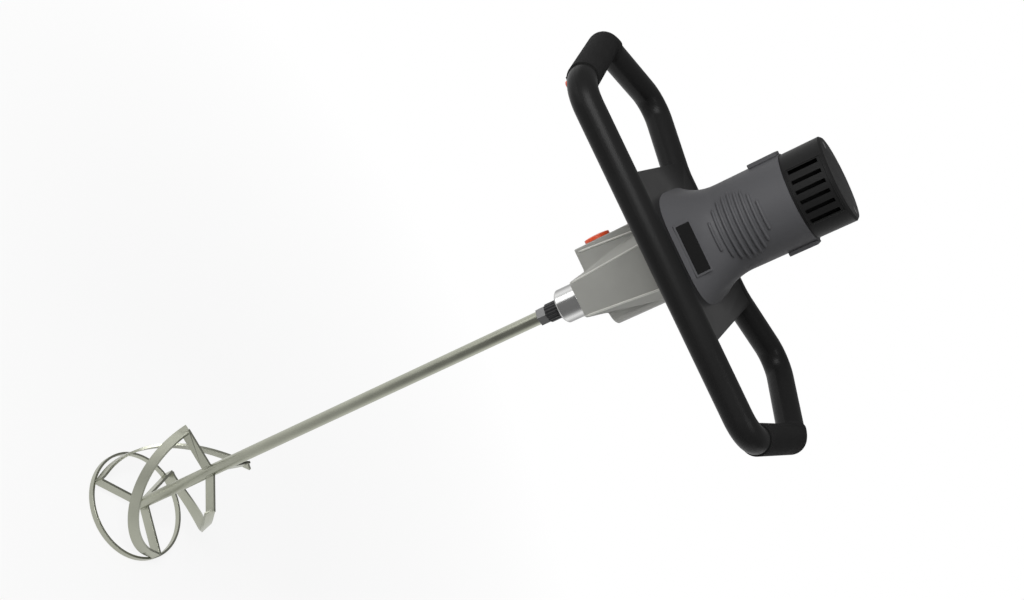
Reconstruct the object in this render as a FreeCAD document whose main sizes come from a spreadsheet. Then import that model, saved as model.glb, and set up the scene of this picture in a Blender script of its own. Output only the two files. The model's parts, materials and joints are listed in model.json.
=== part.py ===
"""Hand-held mixing drill with a ring handle, a two-speed gearbox and a helical paddle.

Millimetres. The origin is on the spindle's axis where the nose collar's round wall begins.
+Z runs along the spindle from the paddle to the motor, the handle is longest along X with
the trigger at -X, and the straight bar of the handle is on the -Y side.
"""
import FreeCAD, Part
import math
import os
import Sketcher
from FreeCAD import Placement, Rotation, Vector
from types import SimpleNamespace

doc = FreeCAD.newDocument("mixing_drill")
sheet = doc.addObject("Spreadsheet::Sheet", "Sizes")

DIMENSIONS = {
    # Mixing rod and paddle
    "rod_diameter": 14,
    "rod_length": 594,
    "thread_diameter": 14,
    "nut_across_flats": 17,
    "nut_length": 10,
    "lock_ring_diameter": 20,
    "lock_ring_length": 16,
    "paddle_diameter": 138,
    "strip_width": 13,
    "strip_thickness": 3,
    "paddle_top_diameter": 119,
    "blade_height": 127,
    "blade_wrap": 150,
    "blade_twist": 38,
    "first_blade_angle": -15,
    "arm_drop": 8,
    "hoop_height": 7,
    "hoop_thickness": 3,
    "tip_below_hoop": 0.5,
    # Nose collar, seal and output spindle
    "collar_diameter": 36,
    "collar_length": 25,
    "collar_chamfer": 2,
    "spindle_diameter": 17,
    "spindle_rear_diameter": 12,
    "seal_diameter": 30,
    "seal_width": 7,
    "front_bearing_diameter": 30,
    "front_bearing_width": 7,
    "rear_bearing_diameter": 28,
    "rear_bearing_width": 8,
    "circlip_reach": 2,
    "circlip_thickness": 1.2,
    "running_clearance": 0.04,
    "free_clearance": 0.3,
    "shaft_gap": 2,
    "side_gap": 2,
    "bearing_lip": 3,
    # Gear train
    "gear_module": 1,
    "low_pinion_teeth": 11,
    "low_gear_teeth": 39,
    "high_pinion_teeth": 17,
    "high_gear_teeth": 33,
    "motor_pinion_teeth": 9,
    "wheel_teeth": 41,
    "gear_width": 10,
    "pinion_overhang": 1.5,
    "layshaft_diameter": 7,
    "layshaft_bearing_diameter": 19,
    "layshaft_bearing_width": 6,
    "sleeve_diameter": 28,
    "sleeve_length": 12,
    "groove_width": 5,
    "groove_depth": 3,
    "shift_travel": 4,
    # Gearbox casting
    "casting_wall": 2.5,
    "nose_half_width": 19.5,
    "nose_back": 46,
    "casting_half_width": 37,
    "casting_front": 36,
    "casting_back": 52,
    "casting_corner": 13,
    "nose_corner": 2,
    "nose_wall": 21,
    "flange_diameter": 112,
    "flange_thickness": 8,
    "boss_reach": 46.6,
    "boss_half_depth": 20,
    "boss_start": 43,
    "bulge_offset": 22,
    "bulge_diameter": 34,
    "bulge_start": 46,
    "plate_thickness": 8,
    "bearing_plate_thickness": 12,
    # Speed selector
    "knob_diameter": 26.6,
    "knob_height": 2.8,
    "knob_centre": 64,
    "knob_shaft_diameter": 10,
    "crank_offset": 2,
    "crank_pin_diameter": 4,
    "crank_pin_length": 3.6,
    "crank_play": 0.7,
    "knob_bar_inset": 3,
    "knob_bar_rise": 0.8,
    "fork_thickness": 4,
    "rail_diameter": 5,
    "rail_offset": 24,
    "lug_reach": 4.5,
    "lug_half_width": 5,
    "lug_wall": 2,
    "fork_room_reach": 33,
    # Ring handle
    "bar_diameter": 28,
    "bar_wall": 3,
    "handle_plane": 141,
    "near_bar": 92,
    "near_corner": 176,
    "end_corner": 221,
    "end_corner_depth": 52,
    "bend_reach": 154,
    "bend_depth": 138,
    "far_bar": 92,
    "far_corner": 70,
    "near_corner_radius": 32,
    "end_corner_radius": 22,
    "bend_radius": 30,
    "far_corner_radius": 40,
    "hub_half_width": 84,
    "hub_back_half_width": 81,
    "hub_thickness": 24,
    "hub_bore": 82,
    "grip_wall": 1.5,
    "handle_screw_diameter": 4,
    "handle_screw_x": 66,
    "handle_screw_y": 60,
    "screw_edge": 5,
    "screw_bite": 10,
    "screw_skin": 4,
    "screw_head_height": 2,
    # Trigger, lock button, switch and gland
    "trigger_start": 38,
    "trigger_length": 42,
    "trigger_width": 12,
    "trigger_reach": 3.5,
    "trigger_depth": 9,
    "trigger_pin_diameter": 3,
    "trigger_gap": 1.2,
    "trigger_pin_inset": 5,
    "trigger_pin_length": 18,
    "trigger_pin_cover": 4,
    "trigger_bevel": 3,
    "trigger_ramp": 9,
    "lock_button_along": 30,
    "lock_button_diameter": 9,
    "lock_button_reach": 3,
    "lock_button_length": 13,
    "lock_button_bevel": 1,
    "switch_length": 30,
    "switch_width": 14,
    "switch_height": 7,
    "switch_lift": 0.8,
    "gland_diameter": 16,
    "gland_bore": 8.5,
    "gland_length": 14,
    # Motor housing and rear cover
    "housing_diameter": 88,
    "housing_wall": 3,
    "housing_length": 106,
    "shoulder_half_width": 58,
    "shoulder_front": 76,
    "shoulder_back": 60,
    "shoulder_height": 40,
    "label_width": 47.5,
    "label_height": 14.7,
    "label_thickness": 1,
    "label_centre": 163.6,
    "label_depth": 0.6358,
    "label_slope": 45,
    "label_border": 2,
    "label_proud": 0.4,
    "label_pad_depth": 4,
    "cover_diameter": 85,
    "cover_length": 40,
    "cover_wall": 3,
    "cover_bevel": 2,
    "vent_count": 6,
    "vent_pitch": 9.6,
    "vent_width": 3.6,
    "vent_length": 28,
    "vent_margin": 5,
    "vent_inner": 18,
    "cover_screw_diameter": 4,
    "cover_screw_circle": 66,
    "cover_screw_bite": 4,
    # Motor inside
    "shaft_diameter": 12,
    "shaft_rear_diameter": 8,
    "fan_diameter": 74,
    "fan_width": 11,
    "fan_blades": 12,
    "fan_gap": 5,
    "fan_sheet": 1.6,
    "fan_hub": 5,
    "baffle_thickness": 3,
    "core_diameter": 46.8,
    "winding_length": 7,
    "winding_diameter": 40,
    "air_gap": 0.6,
    "field_diameter": 81,
    "coil_inset": 2,
    "coil_gap": 4,
    "coil_half_split": 9,
    "coil_length": 4,
    "commutator_diameter": 26,
    "commutator_length": 12,
    "rear_shaft_bearing_diameter": 22,
    "rear_shaft_bearing_width": 7,
    "bridge_width": 26,
    "bridge_thickness": 8,
    "bridge_setback": 1,
    "module_half_width": 26,
    "module_half_depth": 16,
    "module_gap": 8,
    "brush_width": 6.4,
    "brush_height": 9,
    "brush_length": 16,
    "brush_box_wall": 1.5,
    "brush_cap_height": 29,
    "brush_cap_width": 20,
    "brush_cap_reach": 3.2,
    "brush_cap_root": 4,
    "brush_cap_setback": 1,
}


class Size:
    """A number that remembers the sheet formula it comes from."""

    def __init__(self, number, text):
        self.number = float(number)
        self.text = text

    def __float__(self):
        return self.number

    def join(self, sign, other, number):
        other_text = other.text if isinstance(other, Size) else repr(other)
        return Size(number, f"({self.text} {sign} {other_text})")

    def __add__(self, other):
        return self.join("+", other, self.number + float(other))

    def __sub__(self, other):
        return self.join("-", other, self.number - float(other))

    def __mul__(self, other):
        return self.join("*", other, self.number * float(other))

    def __truediv__(self, other):
        return self.join("/", other, self.number / float(other))

    def __neg__(self):
        return Size(-self.number, f"(-1 * {self.text})")


def fill_sheet():
    """Write every driving dimension into the sheet and hand back its named sizes."""
    sizes = SimpleNamespace()
    for row, (alias, number) in enumerate(DIMENSIONS.items(), start=1):
        sheet.set(f"A{row}", alias.replace("_", " "))
        sheet.set(f"B{row}", str(number))
        sheet.setAlias(f"B{row}", alias)
        setattr(sizes, alias, Size(number, f"Sizes.{alias}"))
    doc.recompute()
    return sizes


d = fill_sheet()
ZERO = Size(0, "0")
pieces = []


def bind(item, prop, amount):
    """Tie a property to the sheet, or set it when the amount is a plain number."""
    if isinstance(amount, Size):
        item.setExpression(prop, amount.text)
    else:
        setattr(item, prop, amount)


def place(item, x=0, y=0, z=0):
    """Tie an object's position to the sheet."""
    for axis, amount in (("x", x), ("y", y), ("z", z)):
        if isinstance(amount, Size):
            item.setExpression(f"Placement.Base.{axis}", amount.text)
        elif amount:
            item.setExpression(f"Placement.Base.{axis}", repr(float(amount)))


def piece(item, label):
    """Name an object as a finished sub-part of the drill."""
    item.Label = label
    pieces.append(item)
    return item


def origin_plane(body, role):
    return [feature for feature in body.Origin.OriginFeatures if feature.Role == role][0]


def outline(body, role, points):
    """A closed sketch of straight lines whose corners are tied to the sheet."""
    sketch = body.newObject("Sketcher::SketchObject", "Outline")
    sketch.AttachmentSupport = [(origin_plane(body, role), "")]
    sketch.MapMode = "FlatFace"
    corners = [Vector(float(u), float(v), 0) for u, v in points]
    count = len(corners)
    for index, corner in enumerate(corners):
        sketch.addGeometry(Part.LineSegment(corner, corners[(index + 1) % count]), False)
    for index in range(count):
        sketch.addConstraint(Sketcher.Constraint("Coincident", index, 2, (index + 1) % count, 1))
    for index, point in enumerate(points):
        for kind, amount in zip(("DistanceX", "DistanceY"), point):
            number = sketch.addConstraint(Sketcher.Constraint(kind, -1, 1, index, 1, float(amount)))
            if isinstance(amount, Size):
                sketch.setExpression(f"Constraints[{number}]", amount.text)
    return sketch


def turned(name, profile):
    """A piece turned about the Z axis from a profile of radius and height pairs."""
    body = doc.addObject("PartDesign::Body", name)
    sketch = outline(body, "XZ_Plane", profile)
    turn = body.newObject("PartDesign::Revolution", "Turn")
    turn.Profile = sketch
    turn.ReferenceAxis = (sketch, ["V_Axis"])
    turn.Angle = 360
    sketch.Visibility = False
    return body


def plate(name, points, bottom, height):
    """A plate of straight-sided outline that stands up from a height above the origin."""
    body = doc.addObject("PartDesign::Body", name)
    sketch = outline(body, "XY_Plane", points)
    if isinstance(bottom, Size):
        sketch.setExpression("AttachmentOffset.Base.z", bottom.text)
    pad = body.newObject("PartDesign::Pad", "Rise")
    pad.Profile = sketch
    bind(pad, "Length", height)
    return body


def tapered(name, low_points, high_points, bottom, top):
    """A casting that changes straight from one outline to another."""
    body = doc.addObject("PartDesign::Body", name)
    low = outline(body, "XY_Plane", low_points)
    low.setExpression("AttachmentOffset.Base.z", bottom.text)
    high = outline(body, "XY_Plane", high_points)
    high.setExpression("AttachmentOffset.Base.z", top.text)
    loft = body.newObject("PartDesign::AdditiveLoft", "Taper")
    loft.Profile = low
    loft.Sections = [high]
    loft.Ruled = True
    return body


def rod(name, radius, length, x=0, y=0, z=0):
    """A round bar along Z."""
    bar = doc.addObject("Part::Cylinder", name)
    bind(bar, "Radius", radius)
    bind(bar, "Height", length)
    place(bar, x, y, z)
    return bar


def cross_rod(name, radius, length, direction, x=0, y=0, z=0):
    """A round bar that lies along another direction."""
    bar = rod(name, radius, length)
    bar.Placement = Placement(Vector(), Rotation(Vector(0, 0, 1), direction))
    place(bar, x, y, z)
    return bar


def block(name, low, high):
    """A box between two corners."""
    box = doc.addObject("Part::Box", name)
    for prop, start, end in zip(("Length", "Width", "Height"), low, high):
        span = end - start if isinstance(end, Size) else -(start - end)
        bind(box, prop, span)
    place(box, *low)
    return box


def joined(name, parts):
    union = doc.addObject("Part::MultiFuse", name)
    union.Shapes = parts
    return union


def cut(name, base, tools):
    """A base with every tool taken out of it."""
    tool = tools[0] if len(tools) == 1 else joined(name + "_tools", tools)
    result = doc.addObject("Part::Cut", name)
    result.Base = base
    result.Tool = tool
    return result


def common(name, base, tool):
    result = doc.addObject("Part::Common", name)
    result.Base = base
    result.Tool = tool
    return result


def group(name, parts):
    """Separate like solids that share one node."""
    bundle = doc.addObject("Part::Compound", name)
    bundle.Links = parts
    return bundle


def solid(name, shape):
    """A shape made with Part's own functions from the sheet's sizes."""
    feature = doc.addObject("Part::Feature", name)
    feature.Shape = shape
    feature.Placement = Placement()
    return feature


def ring(name, outer, inner, bottom, height, x=0, y=0):
    """A plain round ring about an upright axis."""
    hole = rod(name + "_hole", inner, height, x, y, bottom)
    return cut(name, rod(name + "_disc", outer, height, x, y, bottom), [hole])


# Heights along the spindle, worked out once and shared by the pieces that meet there
gear_centre = d.gear_module * (d.low_pinion_teeth + d.low_gear_teeth) / 2
casting_start = d.collar_length - d.collar_chamfer
cavity_start = casting_start + d.nose_wall
hub_bottom = d.handle_plane - d.hub_thickness / 2
hub_top = d.handle_plane + d.hub_thickness / 2
flange_bottom = hub_bottom - d.flange_thickness
taper_length = flange_bottom - casting_start
low_gear_bottom = cavity_start + d.bearing_lip
low_gear_top = low_gear_bottom + d.gear_width
sleeve_bottom = low_gear_top + d.free_clearance * 2
sleeve_top = sleeve_bottom + d.sleeve_length
high_gear_bottom = sleeve_top + d.shift_travel + d.free_clearance * 2
high_gear_top = high_gear_bottom + d.gear_width
mid_plate_bottom = high_gear_top + d.side_gap
mid_plate_top = mid_plate_bottom + d.plate_thickness
spindle_end = mid_plate_top + d.circlip_thickness * 2
wheel_bottom = spindle_end + d.pinion_overhang + d.side_gap
wheel_top = wheel_bottom + d.gear_width
bearing_plate_bottom = hub_bottom - d.bearing_plate_thickness
housing_top = hub_top + d.housing_length
cover_top = housing_top + d.cover_length
fan_bottom = hub_top + d.fan_gap
fan_top = fan_bottom + d.fan_width
baffle_bottom = fan_top + d.side_gap
core_bottom = baffle_bottom + d.baffle_thickness + d.winding_length + d.side_gap
bridge_top = housing_top - d.bridge_setback
bridge_bottom = bridge_top - d.bridge_thickness
commutator_top = bridge_bottom - d.side_gap
commutator_bottom = commutator_top - d.commutator_length
core_top = commutator_bottom - d.side_gap - d.winding_length
core_length = core_top - core_bottom
lock_ring_top = -d.collar_chamfer - d.free_clearance
lock_ring_bottom = lock_ring_top - d.lock_ring_length
rod_top = lock_ring_bottom - d.free_clearance
rod_tip = rod_top - d.nut_length - d.rod_length
hoop_top = rod_tip - d.tip_below_hoop
lug_end = d.rail_offset + d.rail_diameter / 2 + d.lug_reach
paddle_radius = d.paddle_diameter / 2
rod_radius = d.rod_diameter / 2
bar_radius = d.bar_diameter / 2


# Toothed wheels

PRESSURE_ANGLE = math.radians(25)
TOOTH_THINNING = 0.16
ADDENDUM = 0.8
DEDENDUM = 1.25
FLANK_POINTS = 4


def tooth_outline(teeth, turned_by):
    """The closed outline of an involute wheel, thinned for backlash."""
    module = float(d.gear_module)
    count = int(float(teeth))
    pitch = module * count / 2
    base = pitch * math.cos(PRESSURE_ANGLE)
    tip = pitch + ADDENDUM * module
    root = pitch - DEDENDUM * module
    start = max(base, root)
    half_at_pitch = math.pi / (2 * count) * (1 - TOOTH_THINNING)
    roll_at_pitch = math.tan(PRESSURE_ANGLE) - PRESSURE_ANGLE
    flank = []
    for step in range(FLANK_POINTS):
        radius = start + (tip - start) * step / (FLANK_POINTS - 1)
        angle = math.acos(min(1.0, base / radius))
        flank.append((radius, half_at_pitch + roll_at_pitch - (math.tan(angle) - angle)))
    if root < start:
        flank.insert(0, (root, flank[0][1]))
    points = []
    for tooth in range(count):
        middle = turned_by + 2 * math.pi * tooth / count
        side = [(radius, middle - half) for radius, half in flank]
        side += [(radius, middle + half) for radius, half in reversed(flank)]
        points += [Vector(radius * math.cos(a), radius * math.sin(a), 0) for radius, a in side]
    return Part.Wire(Part.makePolygon(points + points[:1]))


def toothed(teeth, bottom, height, x=0, y=0, turned_by=0.0):
    """A toothed blank that stands on a height, at a place in plan."""
    face = Part.Face(tooth_outline(teeth, turned_by))
    face.translate(Vector(float(x), float(y), float(bottom)))
    return face.extrude(Vector(0, 0, float(height)))


def bar_shape(radius, bottom, top, x=0, y=0):
    """A round bar between two heights."""
    foot = Vector(float(x), float(y), float(bottom))
    return Part.makeCylinder(float(radius), float(top) - float(bottom), foot)


def mesh_turn(teeth):
    """The turn that puts a gap of a wheel with this many teeth towards its neighbour."""
    return math.pi / float(teeth)


UP = math.pi / 2
DOWN = -math.pi / 2


def make_gears():
    shaft = d.spindle_diameter / 2
    low = toothed(d.low_gear_teeth, low_gear_bottom, d.gear_width,
                  turned_by=UP + mesh_turn(d.low_gear_teeth))
    low = low.cut(bar_shape(shaft, low_gear_bottom, low_gear_top))
    piece(solid("LowGear", low), "low_gear")

    high = toothed(d.high_gear_teeth, high_gear_bottom, d.gear_width,
                   turned_by=UP + mesh_turn(d.high_gear_teeth))
    high = high.cut(bar_shape(shaft + d.running_clearance, high_gear_bottom, high_gear_top))
    piece(solid("HighGear", high), "high_gear")

    wheel = toothed(d.wheel_teeth, wheel_bottom, d.gear_width, y=gear_centre,
                    turned_by=DOWN + mesh_turn(d.wheel_teeth))
    wheel = wheel.cut(bar_shape(d.layshaft_diameter / 2, wheel_bottom, wheel_top, y=gear_centre))
    piece(solid("LayshaftWheel", wheel), "layshaft_wheel")

    over = d.pinion_overhang
    front = cavity_start - d.layshaft_bearing_width
    back = bearing_plate_bottom + d.layshaft_bearing_width
    shaft_bar = bar_shape(d.layshaft_diameter / 2, front, back, y=gear_centre)
    low_pinion = toothed(d.low_pinion_teeth, low_gear_bottom - over, d.gear_width + over * 2,
                         y=gear_centre, turned_by=DOWN)
    high_pinion = toothed(d.high_pinion_teeth, high_gear_bottom - over, d.gear_width + over * 2,
                          y=gear_centre, turned_by=DOWN)
    piece(solid("Layshaft", shaft_bar.fuse([low_pinion, high_pinion]).removeSplitter()), "layshaft")


def make_spindle():
    front = d.spindle_diameter / 2
    rear = d.spindle_rear_diameter / 2
    thread = d.thread_diameter / 2
    thread_end = rod_top - d.nut_length + d.free_clearance
    step = high_gear_top + d.free_clearance
    spindle = turned("Spindle", [
        (ZERO, thread_end), (thread, thread_end), (thread, lock_ring_bottom), (front, lock_ring_bottom),
        (front, step), (rear, step), (rear, spindle_end), (ZERO, spindle_end)])
    piece(spindle, "output_spindle")
    outer = d.sleeve_diameter / 2
    groove = outer - d.groove_depth
    middle = (sleeve_bottom + sleeve_top) / 2
    groove_low = middle - d.groove_width / 2
    groove_high = middle + d.groove_width / 2
    bore = front + d.running_clearance
    sleeve = turned("Sleeve", [
        (bore, sleeve_bottom), (outer, sleeve_bottom), (outer, groove_low), (groove, groove_low),
        (groove, groove_high), (outer, groove_high), (outer, sleeve_top), (bore, sleeve_top)])
    piece(sleeve, "shift_sleeve")
    clip_bottom = mid_plate_top + d.free_clearance
    clip = ring("Circlip", rear + d.circlip_reach, rear, clip_bottom, d.circlip_thickness)
    piece(clip, "spindle_circlip")


def make_bearings():
    clear = d.running_clearance
    front_seat = casting_start + d.bearing_lip
    piece(ring("FrontBearing", d.front_bearing_diameter / 2, d.spindle_diameter / 2 + clear,
               front_seat, d.front_bearing_width), "spindle_front_bearing")
    piece(ring("RearBearing", d.rear_bearing_diameter / 2, d.spindle_rear_diameter / 2 + clear,
               mid_plate_bottom, d.rear_bearing_width), "spindle_rear_bearing")
    small = d.layshaft_bearing_diameter / 2
    bore = d.layshaft_diameter / 2 + clear
    width = d.layshaft_bearing_width
    piece(ring("LayFrontBearing", small, bore, cavity_start - width, width, y=gear_centre),
          "layshaft_front_bearing")
    piece(ring("LayRearBearing", small, bore, bearing_plate_bottom, width, y=gear_centre),
          "layshaft_rear_bearing")
    piece(ring("ArmatureFrontBearing", d.rear_bearing_diameter / 2, d.shaft_diameter / 2 + clear,
               hub_bottom - d.rear_bearing_width, d.rear_bearing_width), "armature_front_bearing")
    piece(ring("ArmatureRearBearing", d.rear_shaft_bearing_diameter / 2, d.shaft_rear_diameter / 2 + clear,
               bridge_bottom, d.rear_shaft_bearing_width), "armature_rear_bearing")


def make_nose():
    outer = d.collar_diameter / 2
    chamfer = d.collar_chamfer
    seal = d.seal_diameter / 2
    bore = d.spindle_diameter / 2 + d.shaft_gap
    seal_back = ZERO + d.seal_width
    collar = turned("Collar", [
        (seal, -chamfer), (outer - chamfer, -chamfer), (outer, ZERO), (outer, casting_start),
        (bore, casting_start), (bore, seal_back), (seal, seal_back)])
    piece(collar, "nose_collar")
    piece(ring("Seal", seal, d.spindle_diameter / 2 + d.running_clearance, ZERO, d.seal_width), "shaft_seal")


def octagon(half, front, back, corner):
    """The casting's plan outline: a rectangle with its corners cut off."""
    return [(-half + corner, -front), (half - corner, -front), (half, -front + corner), (half, back - corner),
            (half - corner, back), (-half + corner, back), (-half, back - corner), (-half, -front + corner)]


def casting_outline(height, inset):
    """The casting's outline at a height of its taper, drawn in by a wall."""
    share = (height - casting_start) / taper_length

    def between(low, high):
        return low + (high - low) * share

    return octagon(between(d.nose_half_width, d.casting_half_width) - inset,
                   between(d.nose_half_width, d.casting_front) - inset,
                   between(d.nose_back, d.casting_back) - inset, between(d.nose_corner, d.casting_corner))


def casting_solid(name, inset, start):
    """The tapered casting and its straight rear, drawn in by a wall."""
    taper_end = casting_start + taper_length
    wide = casting_outline(taper_end, inset)
    taper = tapered(name + "Taper", casting_outline(start, inset), wide, start, taper_end)
    rear = plate(name + "Rear", wide, taper_end, hub_bottom - taper_end)
    return joined(name, [taper, rear])


SCREW_ANGLE = math.radians(34)


def make_gearbox():
    skin = casting_solid("CastingSkin", ZERO, casting_start)
    boss = block("Boss", (-d.boss_reach, -d.boss_half_depth, d.boss_start),
                 (ZERO, d.boss_half_depth, hub_bottom))
    bulge = rod("Bulge", d.bulge_diameter / 2, hub_bottom - d.bulge_start, x=d.bulge_offset, z=d.bulge_start)
    flange = rod("Flange", d.flange_diameter / 2, d.flange_thickness, z=flange_bottom)
    outer = joined("CastingOuter", [skin, boss, bulge, flange])
    cavity = casting_solid("Cavity", d.casting_wall, cavity_start)
    room_half = d.boss_half_depth - d.casting_wall
    fork_room = block("ForkRoom", (-d.fork_room_reach, -room_half, d.boss_start + d.casting_wall),
                      (ZERO, room_half, mid_plate_bottom))
    seat_start = casting_start + d.bearing_lip
    front_seat = rod("FrontSeat", d.front_bearing_diameter / 2, cavity_start - seat_start, z=seat_start)
    front_hole = rod("FrontHole", d.spindle_diameter / 2 + d.shaft_gap, d.nose_wall, z=casting_start)
    lay_seat = rod("LaySeat", d.layshaft_bearing_diameter / 2, d.layshaft_bearing_width,
                   y=gear_centre, z=cavity_start - d.layshaft_bearing_width)
    knob_hole = cross_rod("KnobHole", d.knob_shaft_diameter / 2 + d.running_clearance,
                          d.boss_reach - d.rail_offset, Vector(1, 0, 0), x=-d.boss_reach, z=d.knob_centre)
    hole = d.handle_screw_diameter / 2 + d.free_clearance
    holes = [rod(f"FlangeHole{i}", hole, d.flange_thickness, x, y, flange_bottom)
             for i, (x, y) in enumerate(screw_places())]
    body = cut("Gearbox", outer, [cavity, fork_room, front_seat, front_hole, lay_seat, knob_hole] + holes)
    piece(body, "gearbox_housing")


def screw_places():
    """The four long screws stand on one circle of the gearbox flange."""
    circle = d.flange_diameter / 2 - d.screw_edge
    across = circle * math.cos(SCREW_ANGLE)
    deep = circle * math.sin(SCREW_ANGLE)
    return [(across, deep), (-across, deep), (-across, -deep), (across, -deep)]


def make_plates():
    inset = d.casting_wall + d.free_clearance / 2
    mid = plate("MidPlate", casting_outline(mid_plate_bottom, inset), mid_plate_bottom, d.plate_thickness)
    seat = rod("MidSeat", d.rear_bearing_diameter / 2, d.plate_thickness, z=mid_plate_bottom)
    lay_hole = rod("MidLayHole", d.layshaft_diameter / 2 + d.shaft_gap, d.plate_thickness,
                   y=gear_centre, z=mid_plate_bottom)
    rail_hole = rod("MidRailHole", d.rail_diameter / 2, d.plate_thickness, x=-d.rail_offset,
                    z=mid_plate_bottom)
    piece(cut("MidPlateBored", mid, [seat, lay_hole, rail_hole]), "gearbox_mid_plate")

    rear = plate("BearingPlate", casting_outline(bearing_plate_bottom, inset), bearing_plate_bottom,
                 d.bearing_plate_thickness)
    motor_seat = rod("MotorSeat", d.rear_bearing_diameter / 2, d.rear_bearing_width,
                     z=hub_bottom - d.rear_bearing_width)
    motor_hole = rod("MotorHole", d.shaft_diameter / 2 + d.shaft_gap, d.bearing_plate_thickness,
                     z=bearing_plate_bottom)
    lay_seat = rod("LayRearSeat", d.layshaft_bearing_diameter / 2, d.layshaft_bearing_width,
                   y=gear_centre, z=bearing_plate_bottom)
    piece(cut("BearingPlateBored", rear, [motor_seat, motor_hole, lay_seat]), "gearbox_bearing_plate")


def make_selector():
    face = d.boss_reach + d.free_clearance
    disc = cross_rod("KnobDisc", d.knob_diameter / 2, d.knob_height, Vector(-1, 0, 0),
                     x=-face, z=d.knob_centre)
    half = d.knob_diameter / 2 - d.knob_bar_inset
    bar = block("KnobBar", (-face - d.knob_height - d.knob_bar_rise, -half, d.knob_centre - d.knob_bar_inset),
                (-face, half, d.knob_centre + d.knob_bar_inset))
    shaft_end = lug_end + d.free_clearance
    shaft = cross_rod("KnobShaft", d.knob_shaft_diameter / 2, face - shaft_end, Vector(1, 0, 0),
                      x=-face, z=d.knob_centre)
    pin = cross_rod("CrankPin", d.crank_pin_diameter / 2, d.crank_pin_length, Vector(1, 0, 0),
                    x=-shaft_end, z=d.knob_centre - d.crank_offset)
    piece(joined("Selector", [disc, bar, shaft, pin]), "selector_knob")


def make_fork():
    low = (sleeve_bottom + sleeve_top - d.fork_thickness) / 2
    half = d.sleeve_diameter / 2
    slab = block("ForkSlab", (-d.rail_offset, -half, low), (ZERO, half, low + d.fork_thickness))
    mouth = rod("ForkMouth", half - d.groove_depth + d.free_clearance, d.fork_thickness, z=low)
    slot_low = d.knob_centre - d.crank_offset - d.crank_pin_diameter / 2 - d.crank_play
    slot_top = d.knob_centre - d.crank_offset + d.crank_pin_diameter / 2 + d.crank_play
    lug_low = slot_low - d.lug_wall
    lug_top = slot_top + d.lug_wall
    wide = ZERO + d.lug_half_width
    lug = block("ForkLug", (-lug_end, -wide, lug_low), (-d.rail_offset, wide, lug_top))
    rail = d.rail_diameter / 2
    boss = rod("ForkBoss", rail + d.lug_wall, lug_top - lug_low, x=-d.rail_offset, z=lug_low)
    bore = rod("ForkBore", rail + d.running_clearance, lug_top - lug_low, x=-d.rail_offset, z=lug_low)
    slot = block("ForkSlot", (-lug_end, -wide, slot_low), (-lug_end + d.crank_pin_length, wide, slot_top))
    piece(cut("Fork", joined("ForkBlank", [slab, boss, lug]), [mouth, bore, slot]), "shift_fork")
    rail_start = d.boss_start + d.casting_wall
    piece(rod("Rail", rail, mid_plate_top - rail_start, x=-d.rail_offset, z=rail_start), "fork_rail")


# Ring handle

def ring_corners():
    """The handle's centre line in plan: corner points and how far each is rounded."""
    right = [
        (d.near_corner, -d.near_bar, d.near_corner_radius),
        (d.end_corner, d.end_corner_depth, d.end_corner_radius),
        (d.bend_reach, d.bend_depth, d.bend_radius),
        (d.far_corner, d.far_bar, d.far_corner_radius),
    ]
    left = [(-x, y, radius) for x, y, radius in reversed(right)]
    return right + left


def rounded_edges(corners, plane):
    """Straight runs and tangent arcs through a closed set of corners."""
    points = [Vector(float(x), float(y), float(plane)) for x, y, radius in corners]
    radii = [float(radius) for x, y, radius in corners]
    count = len(points)
    arcs = []
    for index in range(count):
        corner = points[index]
        back = (points[index - 1] - corner).normalize()
        ahead = (points[(index + 1) % count] - corner).normalize()
        half_turn = back.getAngle(ahead) / 2
        reach = radii[index] / math.tan(half_turn)
        middle = (back + ahead).normalize() * (radii[index] / math.sin(half_turn) - radii[index])
        arcs.append((corner + back * reach, corner + middle, corner + ahead * reach))
    edges = []
    for index, (start, middle, end) in enumerate(arcs):
        edges.append(Part.Arc(start, middle, end).toShape())
        edges.append(Part.LineSegment(end, arcs[(index + 1) % count][0]).toShape())
    return edges


def tube_along(edges, radius):
    """A solid round bar swept along joined edges."""
    path = Part.Wire(edges)
    start = edges[0].valueAt(edges[0].FirstParameter)
    heading = edges[0].tangentAt(edges[0].FirstParameter)
    circle = Part.Wire(Part.makeCircle(float(radius), start, heading))
    return path.makePipeShell([circle], True, False)


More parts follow.
